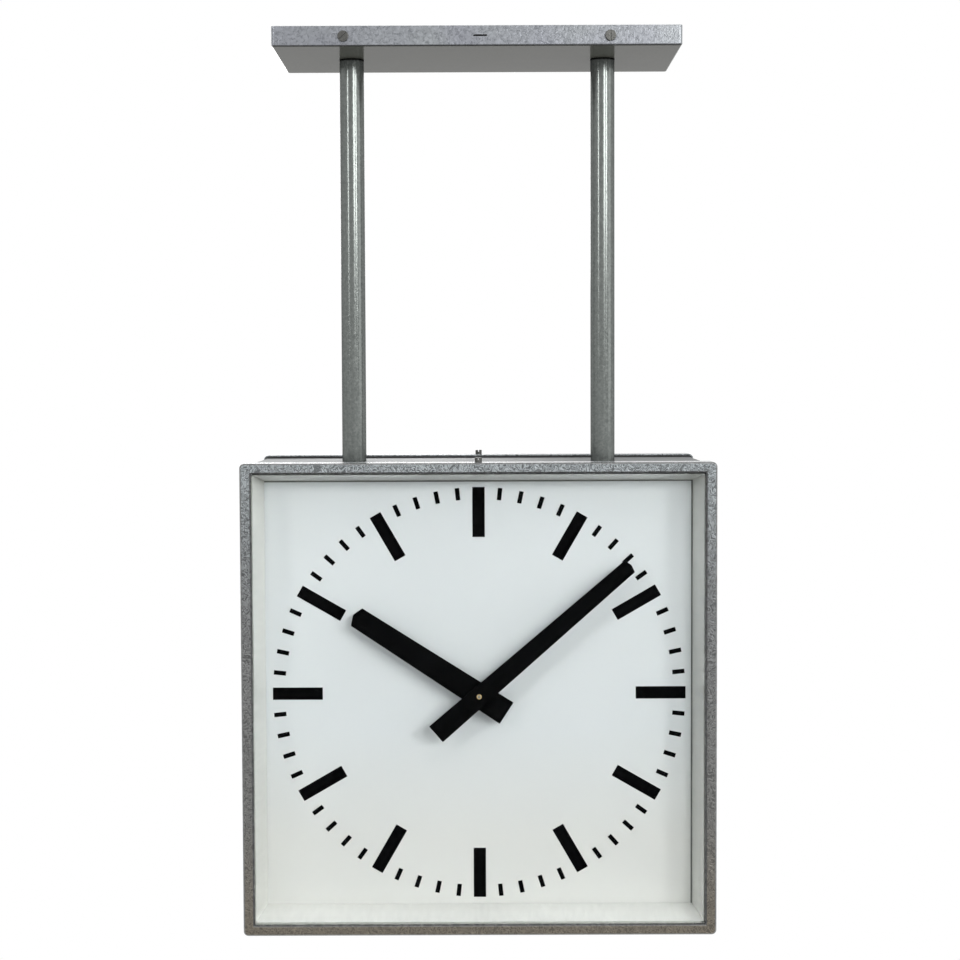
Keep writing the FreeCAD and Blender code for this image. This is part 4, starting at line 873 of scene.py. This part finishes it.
def makeDoorFrame():
    rim = squareBlock("doorFrame", door["half"], door["face"], door["back"])
    roundPicked(rim, door["corner"], 10, runsAlong(1))
    roundPicked(rim, door["edge"], 6, liesAt(1, door["face"]))
    openForEdit(rim, faces=liesAt(1, door["back"]))
    bpy.ops.mesh.inset(thickness=door["sheet"] * mm, use_even_offset=True)
    bpy.ops.mesh.extrude_region_move(
        TRANSFORM_OT_translate={"value": (0, (door["face"] + door["lipBack"] - door["back"]) * mm, 0)})
    closeEdit()
    # the opening, wider at the face than behind it and a little taller than wide
    bevelEnd = door["face"] + door["lipBevel"]
    hole = squareBlock("opening", door["openingHalf"], bevelEnd, door["face"] + door["holeReach"])
    openForEdit(hole, faces=liesAt(1, bevelEnd))
    bpy.ops.mesh.extrude_region_move(TRANSFORM_OT_translate={"value": (0, -door["lipBevel"] * mm, 0)})
    wide = (door["openingHalf"] + door["lipBevel"]) / door["openingHalf"]
    bpy.ops.transform.resize(value=(wide, 1, wide), center_override=dialCentre)
    bpy.ops.mesh.extrude_region_move(TRANSFORM_OT_translate={"value": (0, -door["faceReach"] * mm, 0)})
    bpy.ops.mesh.select_all(action="SELECT")
    bpy.ops.transform.resize(value=(1, 1, door["openingTall"]), center_override=dialCentre)
    closeEdit()
    # the groove behind the lip
    groove = squareBlock("groove", door["foldOuter"], door["face"] + door["sheet"],
                         door["face"] + door["grooveDepth"])
    core = squareBlock("grooveCore", door["foldInner"], door["face"] - door["coreFront"],
                       door["face"] + door["coreBack"])
    cutAway(groove, core)
    cutAway(rim, hole, groove)
    lockY = door["face"] + door["lockDepth"]
    lockHole = addRod("lockHole", door["lockHole"], (0, lockY, door["lockHoleEnd"]),
                      (0, lockY, door["lockHoleTop"]), corners=32)
    cutAway(rim, lockHole)
    softenEdges(rim, door["burr"])
    smoothShade(rim)
    rim.data.materials.clear()
    for finish in ("hammer", "outerEdge", "lip"):
        rim.data.materials.append(finishes[finish])
    edgeBack = (door["face"] + door["lipBack"]) * mm
    # the outer rounding takes the smooth paint, and the opening's bevel the lip paint, darkened as painted
    # shade
    for face in rim.data.polygons:
        reach = max(abs(face.center.x), abs(face.center.z - dialCentre.z)) / mm
        if face.center.y < edgeBack and face.normal.y > -flatNormal:
            face.material_index = 1 if reach > door["foldOuter"] else 2
    return rim


frontFrame = makeDoorFrame()
rearFrame = copyTurned(frontFrame, "rearDoorFrame", math.pi)
frontFrame.name = "frontDoorFrame"
for side, rim in zip(sides, (frontFrame, rearFrame)):
    handOver(rim, None, "hammertone", f"{side}_door", f"{side}_door_frame")
print("door frames made")


# Lock screws in the doors' top edges

lockScrew = {"head": 3.2, "headHeight": 4.3, "shank": 2, "length": 10, "slotAngle": 90,
             "collar": 3.4, "collarHeight": 3, "collarTop": -5.1, "collarEdge": 0.3, "seat": -395.94,
             "depth": 102}


def makeLockScrews():
    turned = makeScrew("frontLockScrew", lockScrew["head"], lockScrew["headHeight"], lockScrew["shank"],
                       lockScrew["length"], lockScrew["slotAngle"])
    collar = addRod("collar", lockScrew["collar"],
                    (0, 0, lockScrew["collarTop"] - lockScrew["collarHeight"]),
                    (0, 0, lockScrew["collarTop"]), corners=48)
    softenEdges(collar, lockScrew["collarEdge"])
    smoothShade(collar)
    whole = joinPieces("lockScrew", [turned, collar])
    for side, y in zip(sides, (-1, 1)):
        spot = (0, y * lockScrew["depth"], lockScrew["seat"])
        screw = copyTurned(whole, f"{side}LockScrew", 0 if y < 0 else math.pi, spot)
        handOver(screw, "plated", "plated_screw", f"{side}_lock", f"{side}_lock_screw")
    bpy.data.objects.remove(whole)


makeLockScrews()
print("lock screws made")


# Rubber seals round the case's ends

seal = {"outer": 213.9, "inner": 212, "front": -86.7, "back": -84.5, "corner": 4, "lip": 0.6,
        "cutPast": 2}


def makeSeals():
    ring = squareBlock("frontSeal", seal["outer"], seal["front"], seal["back"])
    roundPicked(ring, seal["corner"], 8, runsAlong(1))
    for level in (seal["front"], seal["back"]):
        roundPicked(ring, seal["lip"], 4, liesAt(1, level))
    cutAway(ring, squareBlock("sealInside", seal["inner"], seal["front"] - seal["cutPast"],
                              seal["back"] + seal["cutPast"]))
    smoothShade(ring)
    rings = joinPieces("doorSeals", [ring, copyTurned(ring, "rearSeal", math.pi)])
    handOver(rings, "rubber", "black_rubber", "case", "door_seals")


makeSeals()
print("seals made")


# Hands, with their angles in degrees from twelve

hands = {
    "minute": {"angle": 49.1, "reach": 182.2, "point": 1.9, "tail": 52.5, "tipWidth": 14.1,
               "tailWidth": 19.1, "front": 94, "bore": 2.2},
    "hour": {"angle": 303.0, "reach": 133.7, "point": 3.8, "tail": 29.9, "tipWidth": 19.2,
             "tailWidth": 23.4, "front": 87, "bore": 3.6},
}
handSheet = {"thick": 1.5, "bossRadius": 6.5, "bossHeight": 2.5, "bossInSheet": 0.3, "edge": 0.28,
             "boreFront": -5, "boreBack": 10, "pointShare": 0.0001, "mergeWithin": 0.02}


def makeHand(kind):
    # made at twelve about the origin with its face to -Y, then turned to its time
    values = hands[kind]
    half = values["tailWidth"] / 2
    hand = addBlock(kind + "Hand", (-half, 0, -values["tail"]), (half, handSheet["thick"], values["reach"]))
    openForEdit(hand, faces=liesAt(2, values["reach"]))
    bpy.ops.transform.resize(value=(values["tipWidth"] / values["tailWidth"], 1, 1))
    bpy.ops.mesh.extrude_region_move(TRANSFORM_OT_translate={"value": (0, 0, values["point"] * mm)})
    bpy.ops.transform.resize(value=(handSheet["pointShare"], 1, 1))
    bpy.ops.mesh.select_all(action="SELECT")
    bpy.ops.mesh.remove_doubles(threshold=handSheet["mergeWithin"] * mm)
    closeEdit()
    boss = addRod("boss", handSheet["bossRadius"], (0, handSheet["thick"] - handSheet["bossInSheet"], 0),
                  (0, handSheet["thick"] + handSheet["bossHeight"], 0))
    useModifier(hand, "BOOLEAN", operation="UNION", object=boss, solver="EXACT")
    bpy.data.objects.remove(boss)
    cutAway(hand, addRod("bore", values["bore"], (0, handSheet["boreFront"], 0),
                         (0, handSheet["boreBack"], 0), corners=48))
    softenEdges(hand, handSheet["edge"], angle=30, segments=3)
    smoothShade(hand)
    hand.rotation_euler = (0, math.radians(values["angle"]), 0)
    hand.location = Vector((0, -values["front"], door["middle"])) * mm
    return fixPlace(hand)


for kind in hands:
    hand = makeHand(kind)
    for side, turn in zip(sides, (0, math.pi)):
        copy = copyTurned(hand, f"{side}{kind.title()}Hand", turn)
        handOver(copy, "hand", "hand_black", f"{side}_{kind}", f"{side}_{kind}_hand")
    bpy.data.objects.remove(hand)
print("hands made")


# The solids that keep their own shape get their finishes

nodeFinishes = {
    "ceiling_plate": "zinc", "pipe_sockets": "zinc", "case_top": "caseEnamel", "case_bottom": "caseEnamel",
    "case_left": "caseEnamel", "case_right": "caseEnamel", "case_channel": "zinc",
    "case_locknuts": "spring", "terminal_block": "terminal", "hinge_case_leaves": "hinge",
    "hinge_pins": "spring", "dial_screws": "plated", "movement_pillars": "turned",
}
sideFinishes = {
    "door_glass": "glass", "door_liner": "reveal", "liner_clips": "spring", "door_leaves": "hinge",
    "dial_carrier": "zinc", "dial": "dial", "dial_marks": "mark", "movement_front_plate": "brass",
    "movement_back_plate": "brass", "movement_stator": "core", "movement_coil": "winding",
    "minute_arbor": "arbor", "cannon_pinion": "turned", "hour_wheel": "brass", "minute_wheel": "brass",
    "third_wheel": "brass", "rotor": "magnet",
}
for side in sides:
    nodeFinishes.update({f"{side}_{name}": finish for name, finish in sideFinishes.items()})
for name, finish in nodeFinishes.items():
    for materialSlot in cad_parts[name].material_slots:
        materialSlot.material = finishes[finish]
print("solids dressed:", len(nodeFinishes))
